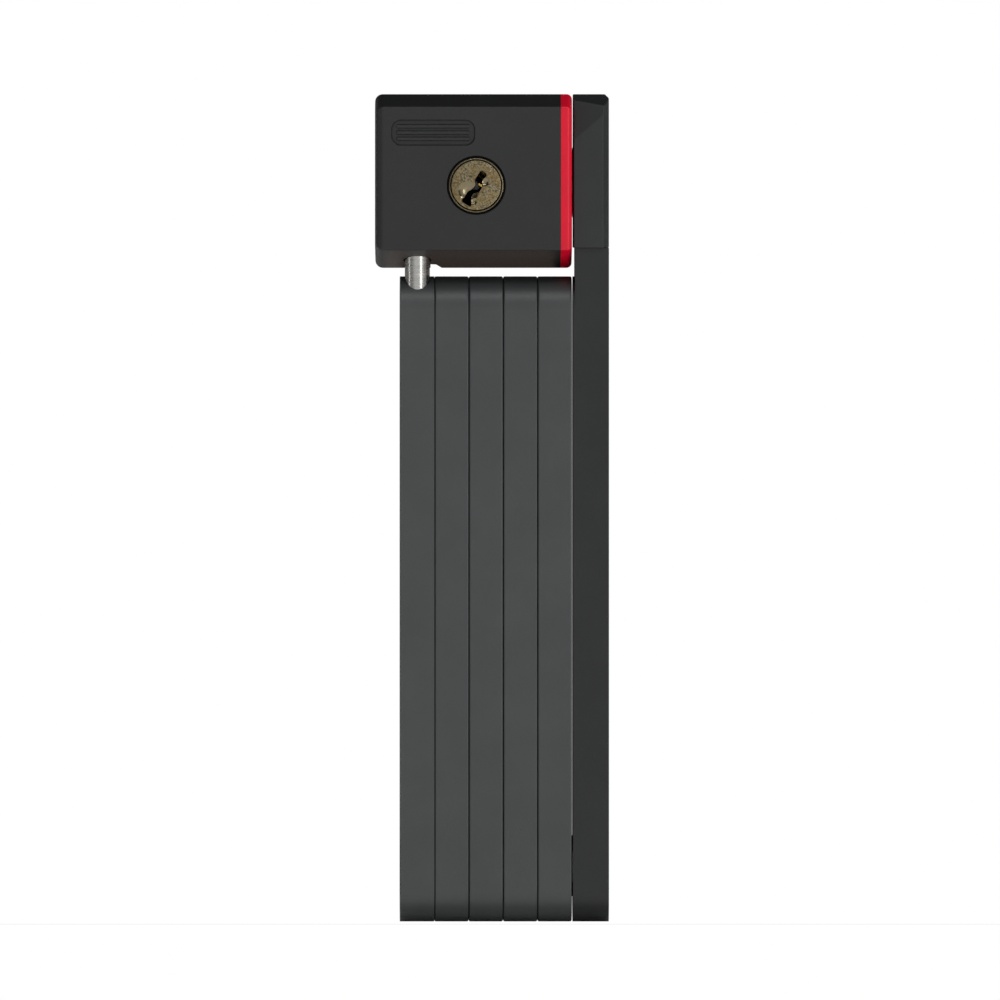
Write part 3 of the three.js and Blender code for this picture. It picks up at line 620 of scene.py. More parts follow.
# --- screws and rivets ---
def screw_tree(material):
    """Countersunk screw along +Z, its head level with zero: tapered head, shank and a six-sided socket."""
    tree, given = new_tree("countersunk_screw", {
        "Head Radius": 0.0025, "Shank Radius": 0.0013, "Head Height": 0.0013,
        "Head Place": (0, 0, -0.0013), "Shank Length": 0.006, "Shank Place": (0, 0, -0.004),
        "Socket": 0.0011, "Place": (0, 0, 0), "Turn": None,
    })
    cone = add(tree, "GeometryNodeMeshCone", {
        "Vertices": 48, "Radius Top": given["Head Radius"], "Radius Bottom": given["Shank Radius"],
        "Depth": given["Head Height"]})
    head = add(tree, "GeometryNodeTransform", {"Geometry": cone, "Translation": given["Head Place"]})
    rod = add(tree, "GeometryNodeMeshCylinder", {
        "Vertices": 48, "Radius": given["Shank Radius"], "Depth": given["Shank Length"]})
    shank = add(tree, "GeometryNodeTransform", {"Geometry": rod, "Translation": given["Shank Place"]})
    whole = add(tree, "GeometryNodeMeshBoolean", {"Mesh 2": [head, shank]}, operation="UNION")
    socket = add(tree, "GeometryNodeMeshCylinder", {
        "Vertices": 6, "Radius": given["Socket"], "Depth": given["Head Height"]})
    screw = add(tree, "GeometryNodeMeshBoolean", {
        "Mesh 1": whole, "Mesh 2": socket}, operation="DIFFERENCE")
    laid = add(tree, "GeometryNodeTransform", {
        "Geometry": screw, "Translation": given["Place"], "Rotation": given["Turn"]})
    end_tree(tree, laid, material)
    return tree


def build_screws():
    tree = screw_tree(finish("steel"))
    for i, (y, z) in enumerate(SCREW_SEATS, 1):
        low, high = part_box(f"cap_screw_{i}")
        shank = high.x - low.x - 0.8 * MM
        screw = grow(f"plate_screw_{i}", tree, {
            "Head Radius": SCREW_HEAD_R, "Shank Radius": SCREW_R, "Head Height": SCREW_HEAD_H,
            "Head Place": (0, 0, -SCREW_HEAD_H), "Shank Length": shank,
            "Shank Place": (0, 0, -shank / 2 - SHANK_SINK), "Place": (high.x, y * MM, z * MM),
            "Turn": (0, math.pi / 2, 0)})
        soften(screw, 0.08 * MM, 2)
        finish_piece(screw, "steel", "lock_body", [f"cap_screw_{i}"])


RIVET_R = 4.0 * MM
RIVET_HEAD_R = 6.5 * MM
RIVET_HEAD_H = 1.0 * MM


def rivet_tree(material):
    """Rivet along X: shank and two heads with a tapered rim."""
    tree, given = new_tree("bar_rivet", {
        "Shank Radius": 0.004, "Shank Length": 0.013, "Head Radius": 0.0065, "Rim Radius": 0.0057,
        "Head Thickness": 0.001, "Head Place": (0, 0, 0.006), "Place": (0, 0, 0.0125),
    })
    shank = add(tree, "GeometryNodeMeshCylinder", {
        "Vertices": 64, "Radius": given["Shank Radius"], "Depth": given["Shank Length"]})
    head = add(tree, "GeometryNodeMeshCone", {
        "Vertices": 64, "Radius Bottom": given["Head Radius"], "Radius Top": given["Rim Radius"],
        "Depth": given["Head Thickness"]})
    upper = add(tree, "GeometryNodeTransform", {"Geometry": head, "Translation": given["Head Place"]})
    lower = add(tree, "GeometryNodeTransform", {"Geometry": upper, "Rotation": (math.pi, 0, 0)})
    whole = add(tree, "GeometryNodeMeshBoolean", {"Mesh 2": [shank, upper, lower]}, operation="UNION")
    laid = add(tree, "GeometryNodeTransform", {
        "Geometry": whole, "Rotation": (0, math.pi / 2, 0), "Translation": given["Place"]})
    end_tree(tree, laid, material)
    return tree


def build_rivets():
    tree = rivet_tree(finish("stud"))
    for i in range(1, 6):
        low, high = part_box(f"rivet_{i}")
        reach = high.x - low.x
        rivet = grow(f"rivet_head_pair_{i}", tree, {
            "Shank Radius": RIVET_R, "Shank Length": reach - RIVET_HEAD_H / 2, "Head Radius": RIVET_HEAD_R,
            "Rim Radius": 0.88 * RIVET_HEAD_R, "Head Thickness": RIVET_HEAD_H,
            "Head Place": (0, 0, reach / 2 - RIVET_HEAD_H),
            "Place": ((low.x + high.x) / 2, 0, (low.z + high.z) / 2)})
        soften(rivet, 0.25 * MM, 3, limit=25)
        finish_piece(rivet, "stud", f"bar_{i}", [f"rivet_{i}"])


# --- bars ---
def sheath_tree(material):
    """Coating of one bar: a long plate with rounded ends, hollow for its steel, open round the rivets."""
    tree, given = new_tree("bar_coating", {
        "Outer Width": 0.024, "Outer Height": 0.1445, "Outer Corner": 0.0076, "Outer Thickness": 0.0076,
        "Outer Place": (0, 0, 0.072), "Room Width": 0.022, "Room Height": 0.1425, "Room Corner": 0.0066,
        "Room Thickness": 0.005, "Room Place": (0.0013, 0, 0.072), "Recess": 0.0072,
        "Lower Rivet": (0, 0, 0.0125), "Upper Rivet": (0, 0, 0.132), "Has Upper": True,
    })

    def plate(part):
        box = add(tree, "GeometryNodeCurvePrimitiveQuadrilateral", {
            "Width": given[f"{part} Width"], "Height": given[f"{part} Height"]})
        soft = add(tree, "GeometryNodeFilletCurve", {
            "Curve": box, "Count": 16, "Radius": given[f"{part} Corner"], "Limit Radius": True},
            mode="POLY")
        flat = add(tree, "GeometryNodeFillCurve", {"Curve": soft}, mode="NGONS")
        skin = add(tree, "GeometryNodeTransform", {
            "Geometry": flat, "Rotation": (math.pi / 2, 0, math.pi / 2),
            "Translation": given[f"{part} Place"]})
        other = add(tree, "GeometryNodeFlipFaces", {"Mesh": skin})
        wide = add(tree, "GeometryNodeExtrudeMesh", {
            "Mesh": skin, "Offset": (1, 0, 0), "Offset Scale": given[f"{part} Thickness"],
            "Individual": False}, mode="FACES")
        both = add(tree, "GeometryNodeJoinGeometry", {"Geometry": [wide, other]})
        return add(tree, "GeometryNodeMergeByDistance", {"Geometry": both, "Distance": 1e-6})

    def opening(rivet):
        tool = add(tree, "GeometryNodeMeshCylinder", {
            "Vertices": 96, "Radius": given["Recess"], "Depth": 0.03})
        return add(tree, "GeometryNodeTransform", {
            "Geometry": tool, "Rotation": (0, math.pi / 2, 0),
            "Translation": given[rivet]})

    upper = add(tree, "GeometryNodeSwitch", {"Switch": given["Has Upper"], "True": opening("Upper Rivet")},
                input_type="GEOMETRY")
    cut = add(tree, "GeometryNodeMeshBoolean", {
        "Mesh 1": plate("Outer"), "Mesh 2": [plate("Room"), opening("Lower Rivet"), upper]},
        operation="DIFFERENCE")
    end_tree(tree, cut, material)
    return tree


def add_land(sheath, low, s):
    """Thicker coating of the last bar beside the stack of folded bars."""
    corners = rectangle(BAR_LOW.y, BAR_HIGH.y, 0, BAR_HIGH.z)
    land = prism("land", "x", rounded(corners, s.corner, 16), low.x, LAST_LEFT + 1.0 * MM)
    hole = rod("hole", "x", s.recess, low.x - MM, low.x + 9 * MM, (0, LOW_RIVET_Z))
    carve(land, [hole])
    carve(sheath, [land], "UNION")


def build_bars(s):
    trees = {"coating": sheath_tree(finish("coating")), "last_coating": sheath_tree(finish("last_coating"))}
    for i in range(1, 7):
        low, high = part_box(f"bar_sheath_{i}")
        steel_low, steel_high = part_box(f"steel_bar_{i}")
        last = i == 6
        kind = "last_coating" if last else "coating"
        left, top = (LAST_LEFT, HEAD_HIGH.z) if last else (low.x, high.z)
        coat = s.coat - SEAT
        room_left, room_right, room_top = steel_low.x - SEAT, steel_high.x + SEAT, steel_high.z + SEAT
        sheath = grow(f"coating_{i}", trees[kind], {
            "Outer Width": high.y - low.y, "Outer Height": top - low.z, "Outer Corner": s.corner,
            "Outer Thickness": high.x - left, "Outer Place": (left, 0, (top + low.z) / 2),
            "Room Width": high.y - low.y - 2 * coat, "Room Height": room_top - low.z - coat,
            "Room Corner": s.corner - coat, "Room Thickness": room_right - room_left,
            "Room Place": (room_left, 0, (room_top + low.z + coat) / 2),
            "Recess": s.recess, "Lower Rivet": (left, 0, LOW_RIVET_Z), "Upper Rivet": (left, 0, HIGH_RIVET_Z),
            "Has Upper": 1 < i < 6})
        tools = []
        if i == 1:
            reach, radius = PIN_LOW.z - SEAT, PIN_R + SEAT
            tools.append(turned("pin_seat", "z", [
                (0, reach), (radius, reach), (radius, high.z - 0.3 * MM), (radius + 0.05 * MM, high.z + MM),
                (0, high.z + MM)], (PIN_X, PIN_Y), 64))
        if last:
            tools.append(prism("head_room", "x", rectangle(-0.1, 0.1, HEAD_LOW.z, 0.3),
                               low.x - MM, high.x + MM))
        if tools:
            carve(sheath, tools)
        if last:
            add_land(sheath, low, s)
        soften(sheath, s.edge * 2 if last else s.edge, 4)
        finish_piece(sheath, kind, f"bar_{i}", [f"bar_sheath_{i}"])


# --- head of the last bar ---
def slice_off(bm, point, normal):
    """Cuts a convex solid with a plane and closes it."""
    geometry = bm.verts[:] + bm.edges[:] + bm.faces[:]
    made = bmesh.ops.bisect_plane(bm, geom=geometry, dist=1e-8, plane_co=point, plane_no=normal,
                                  clear_outer=True)
    edges = [g for g in made["geom_cut"] if isinstance(g, bmesh.types.BMEdge)]
    if edges:
        bmesh.ops.contextual_create(bm, geom=edges)


def plane_through(a, b, c, away):
    """Point and normal of the plane through three points, facing away from a point inside."""
    a, b, c = Vector(a) * MM, Vector(b) * MM, Vector(c) * MM
    normal = (b - a).cross(c - a).normalized()
    if normal.dot(Vector(away) * MM - a) > 0:
        normal.negate()
    return a, normal


HEAD_PROUD = 0.35 * MM  # step from the bar out to its head
BOSS_R = 8.2 * MM
BOSS_TIP_R = 7.7 * MM
STUD_ROOM_R = 4.1 * MM


def build_head():
    left, right = LAST_LEFT - HEAD_PROUD, HEAD_HIGH.x
    low, high, half = HEAD_LOW.z, HEAD_HIGH.z, HEAD_HIGH.y
    bm = bmesh.new()
    bmesh.ops.create_cube(bm, size=1.0)
    centre = Vector(((left + right) / 2, 0, (low + high) / 2))
    bmesh.ops.scale(bm, verts=bm.verts, vec=(right - left, 2 * half, high - low))
    bmesh.ops.translate(bm, verts=bm.verts, vec=centre)
    inside = tuple(centre / MM)
    side, front, top, edge = right / MM, half / MM, high / MM, 24.9
    for s in (-1, 1):
        planes = [
            ((edge, s * front, 150), (edge, s * front, 180), (side, s * (front - 2.6), 150)),
            ((18, s * front, top - 2.9), (26, s * front, top - 2.9), (18, s * (front - 4), top)),
            ((19.0, s * front, 175.7), (25.3, s * front, 181.1), (18.5, s * (front - 1.8), 183)),
        ]
        for points in planes:
            slice_off(bm, *plane_through(*points, inside))
    slice_off(bm, *plane_through((side - 0.9, -5, top), (side - 0.9, 5, top), (side, 5, top - 0.9), inside))
    head = from_bmesh("head_cover", bm)
    soften(head, 0.28 * MM, 3, limit=8)
    boss = turned("boss", "x", [
        (0, HEAD_LOW.x), (BOSS_TIP_R, HEAD_LOW.x), (BOSS_R, HEAD_LOW.x + 0.3 * MM),
        (BOSS_R, left + 0.6 * MM), (0, left + 0.6 * MM)], (0, STUD_Z))
    carve(head, [boss], "UNION")
    steel_low, steel_high = LAST_STEEL_LOW, LAST_STEEL_HIGH
    corners = rectangle(steel_low.y - SEAT, steel_high.y + SEAT, 0.1, steel_high.z + SEAT)
    room = prism("steel_room", "x", rounded(corners, 6.7 * MM, 10), steel_low.x - SEAT, steel_high.x + SEAT)
    stud_room = rod("stud_room", "x", STUD_ROOM_R, HEAD_LOW.x - MM, steel_low.x, (0, STUD_Z))
    carve(head, [room, stud_room])
    soften(head)
    finish_piece(head, "head", "bar_6", ["head_cap"])


# --- pin and stud ---
def build_pins():
    radius, low, top = PIN_R, PIN_LOW.z, PIN_HIGH.z
    groove = top - 3.9 * MM
    profile = [
        (0, low), (radius - 0.5 * MM, low), (radius - 0.15 * MM, low + 0.15 * MM), (radius, low + 0.5 * MM),
        (radius, groove), (2 * MM, groove), (2 * MM, groove + 1.4 * MM), (radius, groove + 1.4 * MM),
        (radius, top - 0.5 * MM), (radius - 0.15 * MM, top - 0.15 * MM), (radius - 0.5 * MM, top), (0, top)]
    pin = soften(turned("swivel_post", "z", profile, (PIN_X, PIN_Y)))
    finish_piece(pin, "pin", "bar_1", ["swivel_pin"])

    tip, shoulder = STUD_LOW.x, LAST_STEEL_LOW.x - SEAT
    wide, neck, shank = STUD_R, 2.7 * MM, 3 * MM
    cut, back = tip + 2.4 * MM, tip + 5.7 * MM
    profile = [
        (0, tip), (wide - 1.0 * MM, tip), (wide - 0.3 * MM, tip + 0.3 * MM), (wide, tip + 1.0 * MM),
        (wide, cut - 0.2 * MM), (wide - 0.2 * MM, cut), (neck + 0.2 * MM, cut), (neck, cut + 0.2 * MM),
        (neck, back - 0.2 * MM), (neck + 0.2 * MM, back), (wide - 0.2 * MM, back), (wide, back + 0.2 * MM),
        (wide, shoulder), (shank, shoulder), (shank, STUD_HIGH.x), (0, STUD_HIGH.x)]
    stud = soften(turned("stud_bolt", "x", profile, (0, STUD_Z)))
    finish_piece(stud, "stud", "bar_6", ["locking_stud"])


# --- key cylinder ---
KEYWAY = [  # along and across the keyway, in millimetres
    (3.3, -0.75), (3.3, 0.65), (1.5, 0.65), (0.7, 1.25), (-1.1, 1.25), (-1.9, 0.45), (-2.7, 0.5),
    (-3.5, 0.85), (-4.7, 1.45), (-4.7, -0.85), (-2.2, -0.85), (-1.5, -0.45), (-0.6, -0.2), (0.2, -0.2),
    (0.9, -0.75)]


def tilted(x, z):
    """Point of the cylinder's own face, turned with it and put on its axis."""
    c, s = math.cos(CYLINDER_TILT), math.sin(CYLINDER_TILT)
    return CYLINDER_X + (x * c + z * s) * MM, CYLINDER_Z + (-x * s + z * c) * MM


def untilted(point):
    """Place of a point across and along the keyway."""
    c, s = math.cos(CYLINDER_TILT), math.sin(CYLINDER_TILT)
    x, z = point.x - CYLINDER_X, point.z - CYLINDER_Z
    return x * c - z * s, x * s + z * c


def ward_block(front):
    """Rounded ward on the right wall of the keyway, which the key's groove passes over."""
    rings = []
    for y, inwards in ((0.4, 0.3), (0.48, 0.15), (0.7, 0.0), (1.9, 0.0)):
        shape = rounded(inset(rectangle(0.1, 1.6, 0.2, 0.9), inwards), 0.3 - inwards * 0.5, 4)
        rings.append([(x, front + y * MM, z) for x, z in (tilted(*p) for p in shape)])
    return loft("ward", rings)


def bowl_tool(radius, depth, front, centre, steps=14):
    """Ball that presses a shallow bowl into the face of the plug."""
    ball = (radius ** 2 + depth ** 2) / (2 * depth)
    edge = math.asin(radius / ball)
    rim = radius + 0.05 * MM
    profile = [(0, front - MM), (rim, front - MM), (rim, front - 0.01 * MM)]
    for i in range(steps + 1):
        t = edge * (1 - i / steps)
        profile.append((ball * math.sin(t), front + depth - ball * (1 - math.cos(t))))
    return turned("bowl", "y", profile, centre, 64)


PIN_COUNT = 5
FIRST_BORE = 3.4  # from the face of the plug, in millimetres
BORE_PITCH = 3
BORE_R = 1.35 * MM
PLUG_BACK = 6.6 * MM
PLUG_SHOULDER = PLUG_HIGH.y - 3.3 * MM
TAIL_R = 3.2 * MM
BARREL_FRONT, BARREL_BACK = BODY_FRONT + 2.1 * MM, 6.5 * MM
BORE_GAP = 0.15 * MM  # play between the plug and its bore
DISH = (0.8, -1.65, -1.3)  # depth of the dish, and its place from the axis, in millimetres
BOWLS = ((1.0 * MM, 0.4, 1.9, 0.75), (0.85 * MM, 0.35, -0.6, -3.5))  # radius, depth and place of smaller ones


def pin_bores(name, low, high):
    """Bores for the pins, square to the axis of the cylinder, between two distances from it."""
    bores = []
    for i in range(PIN_COUNT):
        bore = rod(name, "z", BORE_R, low, high, sides=32)
        y = PLUG_LOW.y + (FIRST_BORE + BORE_PITCH * i) * MM
        bore.data.transform(Matrix.Translation((CYLINDER_X, y, CYLINDER_Z))
                            @ Matrix.Rotation(CYLINDER_TILT, 4, "Y"))
        bores.append(bore)
    return bores


def keyway_tool(front):
    outline = [tilted(x, z) for z, x in KEYWAY]
    area = sum(a[0] * b[1] - b[0] * a[1] for a, b in zip(outline, outline[1:] + outline[:1]))
    if area < 0:
        outline.reverse()
    rings = []
    for y, out in ((front - MM, 0.16), (front + 0.02 * MM, 0.16), (front + 0.2 * MM, 0.03),
                   (front + 0.5 * MM, 0.0), (PLUG_BACK - MM, 0.0)):
        rings.append([(x, y, z) for x, z in rounded(inset(outline, -out * MM), 0.32 * MM, 5)])
    return loft("keyway", rings)


def paint_plug(plug, front):
    """Paints the keyway's deep walls black as painted shade, puts brass on its ward and bright wear in the
    bowls.
    """
    for look in ("painted_shade", "brass", "worn"):
        plug.data.materials.append(finish(look))
    for face in plug.data.polygons:
        across, along = untilted(face.center)
        depth = face.center.y - front
        inside = abs(across) < 1.4 * MM and -4.9 * MM < along < 3.5 * MM
        on_ward = 0.05 * MM < across < 1.2 * MM and 0.15 * MM < along < 0.95 * MM and depth < 1.95 * MM
        deep = depth > 0.85 * MM or depth > 0.3 * MM and abs(face.normal.y) < 0.25
        # the keyway's deep walls take the painted shade, black where shade falls inside it; the ward is brass
        if inside and deep or on_ward and depth > 0.35 * MM:
            face.material_index = 2 if on_ward else 1
        elif depth > 0.04 * MM and math.hypot(across, along) < 4.9 * MM and face.normal.y < -0.5:
            face.material_index = 3


def build_plug(s):
    front, r = PLUG_LOW.y, s.plug_radius
    plug = turned("key_plug", "y", [
        (0, front), (r - 0.35 * MM, front), (r - 0.12 * MM, front + 0.08 * MM), (r, front + 0.3 * MM),
        (r, PLUG_BACK), (TAIL_R, PLUG_BACK), (TAIL_R, PLUG_SHOULDER), (0, PLUG_SHOULDER)], AXIS, 128)
    tail = prism("tail", "y", [tilted(x, z) for x, z in rectangle(-2, 2, -2, 2)],
                 PLUG_HIGH.y - 3.4 * MM, PLUG_HIGH.y)
    carve(plug, [tail], "UNION")
    tools = [keyway_tool(front)]
    for radius, depth, x, z in ((s.dish, *DISH), *BOWLS):
        tools.append(bowl_tool(radius, depth * MM, front, (CYLINDER_X + x * MM, CYLINDER_Z + z * MM)))
    tools += pin_bores("chamber", 0.3 * MM, r + MM)
    tools.append(rod("screw_hole", "y", 1.1 * MM, PLUG_HIGH.y - 5 * MM, PLUG_HIGH.y + MM, AXIS, 32))
    carve(plug, tools)
    carve(plug, [ward_block(front)], "UNION")
    soften(plug)
    finish_piece(plug, "face", "plug", ["cylinder_plug"])
    paint_plug(plug, front)


def build_ring(s):
    nose, barrel, bore = s.nose_radius, s.barrel_radius, s.plug_radius + BORE_GAP
    front = PLUG_LOW.y - 0.1 * MM
    housing = turned("cylinder_ring", "y", [
        (0, front), (nose - 0.28 * MM, front), (nose - 0.08 * MM, front + 0.08 * MM),
        (nose, front + 0.28 * MM), (nose, BARREL_FRONT), (barrel, BARREL_FRONT), (barrel, BARREL_BACK),
        (0, BARREL_BACK)], AXIS, 128)
    block = loft("block", [[(x, y, z) for x, z in [tilted(*p) for p in rectangle(-3.4, 3.4, 0, 15.6)]]
                           for y in (BARREL_FRONT, 3.7 * MM)])
    carve(housing, [block], "UNION")
    main_bore = turned("main_bore", "y", [
        (0, BODY_FRONT - MM), (bore + 0.14 * MM, BODY_FRONT - MM), (bore + 0.14 * MM, front + 0.01 * MM),
        (bore, front + 0.16 * MM), (bore, 8 * MM), (0, 8 * MM)], AXIS, 128)
    carve(housing, pin_bores("bore", 5 * MM, 17 * MM) + [main_bore])
    soften(housing)
    finish_piece(housing, "nickel", "lock_body", ["cylinder_housing"])
    # every face more than 0.4 mm behind the front of the nose takes the painted shade, black where shade
    # falls in the gap and bore round the plug
    housing.data.materials.append(finish("painted_shade"))
    for face in housing.data.polygons:
        face.material_index = 1 if face.center.y > front + 0.4 * MM else 0


def build_cylinder(s):
    build_plug(s)
    build_ring(s)


# --- parts kept from the frame ---
KEPT = {
    "lock_core": "cast", "core_lid": "cast", "lid_screw": "steel", "swivel_bush": "brass",
    "spring_cover": "steel", "cam": "steel", "plug_clip": "steel", "key_pin": "brass", "driver_pin": "brass",
    "pin_spring": "wire", "latch": "steel", "swivel_ring": "steel", "pin_dowel": "steel",
    "steel_bar": "bar_steel", "rivet_washer": "steel", "cam_screw": "steel", "latch_spring": "wire",
}


def dress_kept():
    """Gives the parts that keep their mesh a real finish."""
    for name, part in PARTS.items():
        keys = [k for k in KEPT if name == k or name.startswith(k + "_")]
        if part.hide_render or not keys:
            continue
        material = finish(KEPT[max(keys, key=len)])
        for place in part.material_slots:
            place.material = material


# --- stage ---
FRONT_WALL = 0.66  # brightness of the wall of light in front of the lock
WALL_AXIS = (0.22, -0.97, -0.08)  # way to the middle of that wall
FILL_SIDE, FILL_BACK = 0.12, 0.16  # brightness beside and behind the lock
FLOOR_LOW, FLOOR_TOP = -0.00063, -0.0006  # a thin sheet, whose front edge doesn't show
FLOOR_HALF = 1.5
LIGHTS = {  # place, width, height and power of each; all face the middle of the lock
    "top_strip": ((0.1, -0.75, 1.05), 0.9, 0.13, 2.7),
    "right_strip": ((0.68, -1.0, 0.15), 0.2, 0.7, 2.0),
    "right_soft": ((1.2, 0.1, 0.3), 0.8, 0.8, 0.5),
    "left_strip": ((-1.2, -0.25, 0.2), 0.14, 0.7, 0.6),
    "spark": ((1.0, -0.5, 1.1), 0.25, 0.25, 1.6),
    "left_soft": ((-1.2, 0.5, 0.3), 0.8, 0.8, 0.6),
    "rear_0": ((-0.9, 1.0, 0.6), 0.7, 0.7, 4.5),
    "rear_2": ((0.9, 1.0, 0.6), 0.7, 0.7, 4.5),
}
# these light the lock without being mirrored in it
NOT_MIRRORED = ("left_soft", "rear_0", "rear_2")


def build_world():
    """Studio round the lock: a soft wall of light in front, dim sides and top, plain white to the eye."""
    world = bpy.data.worlds.new("studio")
    bpy.context.scene.world = world
    world.use_nodes = True
    tree = world.node_tree
    tree.nodes.clear()
    way = add(tree, "ShaderNodeTexCoord").outputs["Generated"]
    parts = add(tree, "ShaderNodeSeparateXYZ", {"Vector": way}).outputs
    dot = add(tree, "ShaderNodeVectorMath", {0: way, 1: WALL_AXIS}, operation="DOT_PRODUCT")
    facing = dot.outputs["Value"]
    front = add(tree, "ShaderNodeMapRange", {"Value": facing, "From Min": 0.5, "From Max": 0.82})
    eaves = add(tree, "ShaderNodeMapRange", {"Value": parts["Z"], "From Min": 0.85, "From Max": 0.45})
    wall = add(tree, "ShaderNodeMath", {0: front, 1: eaves}, operation="MULTIPLY")
    low_part = add(tree, "ShaderNodeMapRange", {
        "Value": parts["Z"], "From Min": 0.6, "From Max": 0.2, "To Min": 0.25, "To Max": 1.0})
    behind = add(tree, "ShaderNodeMapRange", {
        "Value": parts["Y"], "From Min": 0.2, "From Max": 0.9, "To Min": FILL_SIDE, "To Max": FILL_BACK})
    dim = add(tree, "ShaderNodeMath", {0: behind, 1: low_part}, operation="MULTIPLY")
    level = add(tree, "ShaderNodeMix", {0: wall, 2: dim, 3: FRONT_WALL})
    lit = add(tree, "ShaderNodeBackground", {"Color": (1, 1, 1, 1), "Strength": level})
    plain = add(tree, "ShaderNodeBackground", {"Color": (1, 1, 1, 1), "Strength": 1.0})
    seen = add(tree, "ShaderNodeLightPath").outputs["Is Camera Ray"]
    both = add(tree, "ShaderNodeMixShader", {0: seen, 1: lit, 2: plain})
    add(tree, "ShaderNodeOutputWorld", {"Surface": both})


def area_light(name, place, target, width, height, power, tint=(1, 1, 1)):
    data = bpy.data.lights.new(name, "AREA")
    data.shape = "RECTANGLE"
    data.size, data.size_y = width, height
    data.energy = power
    data.color = tint
    lamp = bpy.data.objects.new(name, data)
    lamp.location = place
    lamp.rotation_euler = (Vector(target) - Vector(place)).to_track_quat("-Z", "Y").to_euler()
    lamp.visible_camera = False
    bpy.context.scene.collection.objects.link(lamp)
    return lamp


def build_stage(s):
    build_world()
    view = bpy.context.scene.view_settings
    view.view_transform = "Standard"
    view.look = "None"
    base = tuple(s.floor)
    floor_material, tree, node, place = surface("paper_floor", base, 0.9)
    mottle(tree, node, place, base, 1.5, (0.98, 1.0), 2.0)
    seen = add(tree, "ShaderNodeLightPath").outputs["Is Camera Ray"]
    along = add(tree, "ShaderNodeSeparateXYZ", {"Vector": place}).outputs["Y"]
    # painted light: towards the lock the floor glows only in front of it and not under it, a painted pool of
    # light with painted shadow beneath; to the camera it glows evenly
    painted_glow_ahead = add(tree, "ShaderNodeMapRange", {
        "Value": along, "From Min": -0.0125, "From Max": -0.016, "To Max": 0.5})
    glow = add(tree, "ShaderNodeMix", {0: seen, 2: painted_glow_ahead, 3: 0.35})
    tree.links.new(glow.outputs[0], node.inputs["Emission Strength"])
    node.inputs["Emission Color"].default_value = base
    square = rectangle(-FLOOR_HALF, FLOOR_HALF, -FLOOR_HALF, FLOOR_HALF)
    floor = loft("paper_sheet", [[(x, y, z) for x, y in square] for z in (FLOOR_LOW, FLOOR_TOP)])
    floor.data.materials.append(floor_material)
    middle = (0, 0, s.view_height)
    for name, (spot, width, height, power) in LIGHTS.items():
        lamp = area_light(name, spot, middle, width, height, power)
        lamp.visible_glossy = name not in NOT_MIRRORED
    gap = (BODY_BOTTOM + BAR_HIGH.z) / 2 - 0.6 * MM
    area_light("gap_bounce", (-5 * MM, 0, gap), (-5 * MM, 0, 1), 38 * MM, 22 * MM, 0.00055, (1.0, 0.72, 0.6))
    camera = bpy.data.objects.new("camera", bpy.data.cameras.new("camera"))
    camera.data.type = "ORTHO"
    camera.data.ortho_scale = s.view_width
    camera.location = (s.view_shift - math.sin(s.view_turn), -math.cos(s.view_turn), s.view_height)
    camera.rotation_euler = (math.pi / 2, 0, -s.view_turn)
    camera.data.clip_end = 100
    bpy.context.scene.collection.objects.link(camera)
    bpy.context.scene.camera = camera


# --- operators, panel and registration ---
class LOCK_OT_sleeve(bpy.types.Operator):
    """Build the lock body's black sleeve with its keyhole, recess and ribs"""
    bl_idname = "bike_lock.sleeve"
    bl_label = "Body Sleeve"

    def execute(self, context):
        build_sleeve(context.scene.lock_body)
        return {"FINISHED"}


class LOCK_OT_plate(bpy.types.Operator):
    """Build the red end plate"""
    bl_idname = "bike_lock.plate"
    bl_label = "End Plate"

    def execute(self, context):
        build_plate(context.scene.lock_body)
        return {"FINISHED"}


class LOCK_OT_screws(bpy.types.Operator):
    """Build the screws of the end plate"""
    bl_idname = "bike_lock.screws"
    bl_label = "Plate Screws"

    def execute(self, context):
        build_screws()
        return {"FINISHED"}


class LOCK_OT_cylinder(bpy.types.Operator):
    """Build the key plug and the ring round it"""
    bl_idname = "bike_lock.cylinder"
    bl_label = "Key Cylinder"

    def execute(self, context):
        build_cylinder(context.scene.lock_cylinder)
        return {"FINISHED"}


class LOCK_OT_bars(bpy.types.Operator):
    """Build the coating of the six bars"""
    bl_idname = "bike_lock.bars"
    bl_label = "Bar Coatings"

    def execute(self, context):
        build_bars(context.scene.lock_bars)
        return {"FINISHED"}


class LOCK_OT_rivets(bpy.types.Operator):
    """Build the rivets between the bars"""
    bl_idname = "bike_lock.rivets"
    bl_label = "Rivets"

    def execute(self, context):
        build_rivets()
        return {"FINISHED"}


class LOCK_OT_head(bpy.types.Operator):
    """Build the faceted head of the last bar"""
    bl_idname = "bike_lock.head"
    bl_label = "Last Bar Head"

    def execute(self, context):
        build_head()
        return {"FINISHED"}


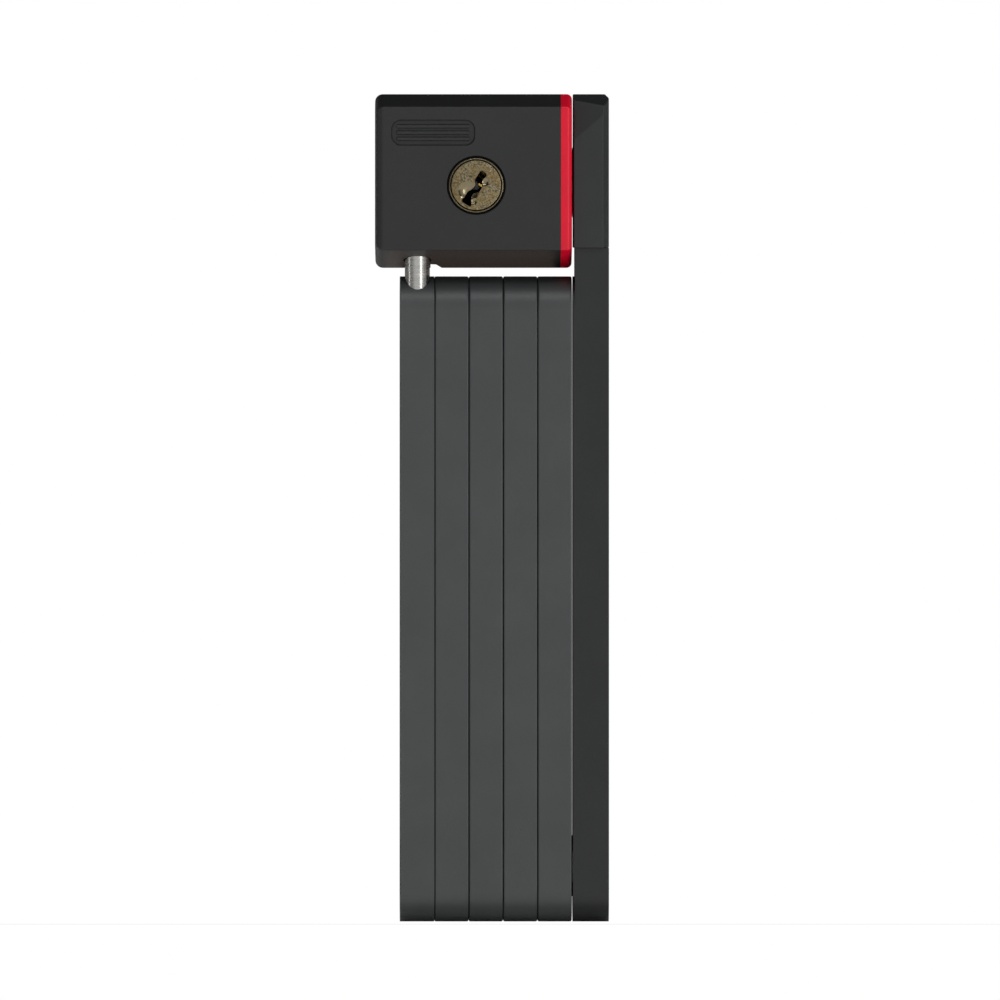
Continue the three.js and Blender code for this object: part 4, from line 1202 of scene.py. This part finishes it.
class LOCK_OT_pins(bpy.types.Operator):
    """Build the swivel pin and the locking stud"""
    bl_idname = "bike_lock.pins"
    bl_label = "Pin and Stud"

    def execute(self, context):
        build_pins()
        return {"FINISHED"}


class LOCK_OT_inner_parts(bpy.types.Operator):
    """Give the parts inside the lock their finishes"""
    bl_idname = "bike_lock.inner_parts"
    bl_label = "Inner Parts"

    def execute(self, context):
        dress_kept()
        return {"FINISHED"}


class LOCK_OT_stage(bpy.types.Operator):
    """Build the floor, lights and camera"""
    bl_idname = "bike_lock.stage"
    bl_label = "Stage"

    def execute(self, context):
        build_stage(context.scene.lock_stage)
        return {"FINISHED"}


OPERATORS = (LOCK_OT_sleeve, LOCK_OT_plate, LOCK_OT_screws, LOCK_OT_cylinder, LOCK_OT_bars, LOCK_OT_rivets,
             LOCK_OT_head, LOCK_OT_pins, LOCK_OT_inner_parts, LOCK_OT_stage)
SETTINGS = {"lock_body": LockBodySettings, "lock_bars": BarSettings, "lock_cylinder": CylinderSettings,
            "lock_stage": StageSettings}


class LOCK_PT_panel(bpy.types.Panel):
    """Sizes, colours and build steps of the bike lock"""
    bl_label = "Folding Bike Lock"
    bl_idname = "LOCK_PT_panel"
    bl_space_type = "VIEW_3D"
    bl_region_type = "UI"
    bl_category = "Bike Lock"

    def draw(self, context):
        for name in SETTINGS:
            group = getattr(context.scene, name)
            box = self.layout.box()
            for field in group.__annotations__:
                box.prop(group, field)
        for operator in OPERATORS:
            self.layout.operator(operator.bl_idname)


def register():
    for name, group in SETTINGS.items():
        bpy.utils.register_class(group)
        setattr(bpy.types.Scene, name, PointerProperty(type=group))
    for operator in OPERATORS:
        bpy.utils.register_class(operator)
    bpy.utils.register_class(LOCK_PT_panel)


def unregister():
    bpy.utils.unregister_class(LOCK_PT_panel)
    for operator in reversed(OPERATORS):
        bpy.utils.unregister_class(operator)
    for name, group in reversed(SETTINGS.items()):
        delattr(bpy.types.Scene, name)
        bpy.utils.unregister_class(group)


def main():
    register()
    for operator in OPERATORS:
        group, name = operator.bl_idname.split(".")
        getattr(getattr(bpy.ops, group), name)()


if __name__ == "__main__":
    main()
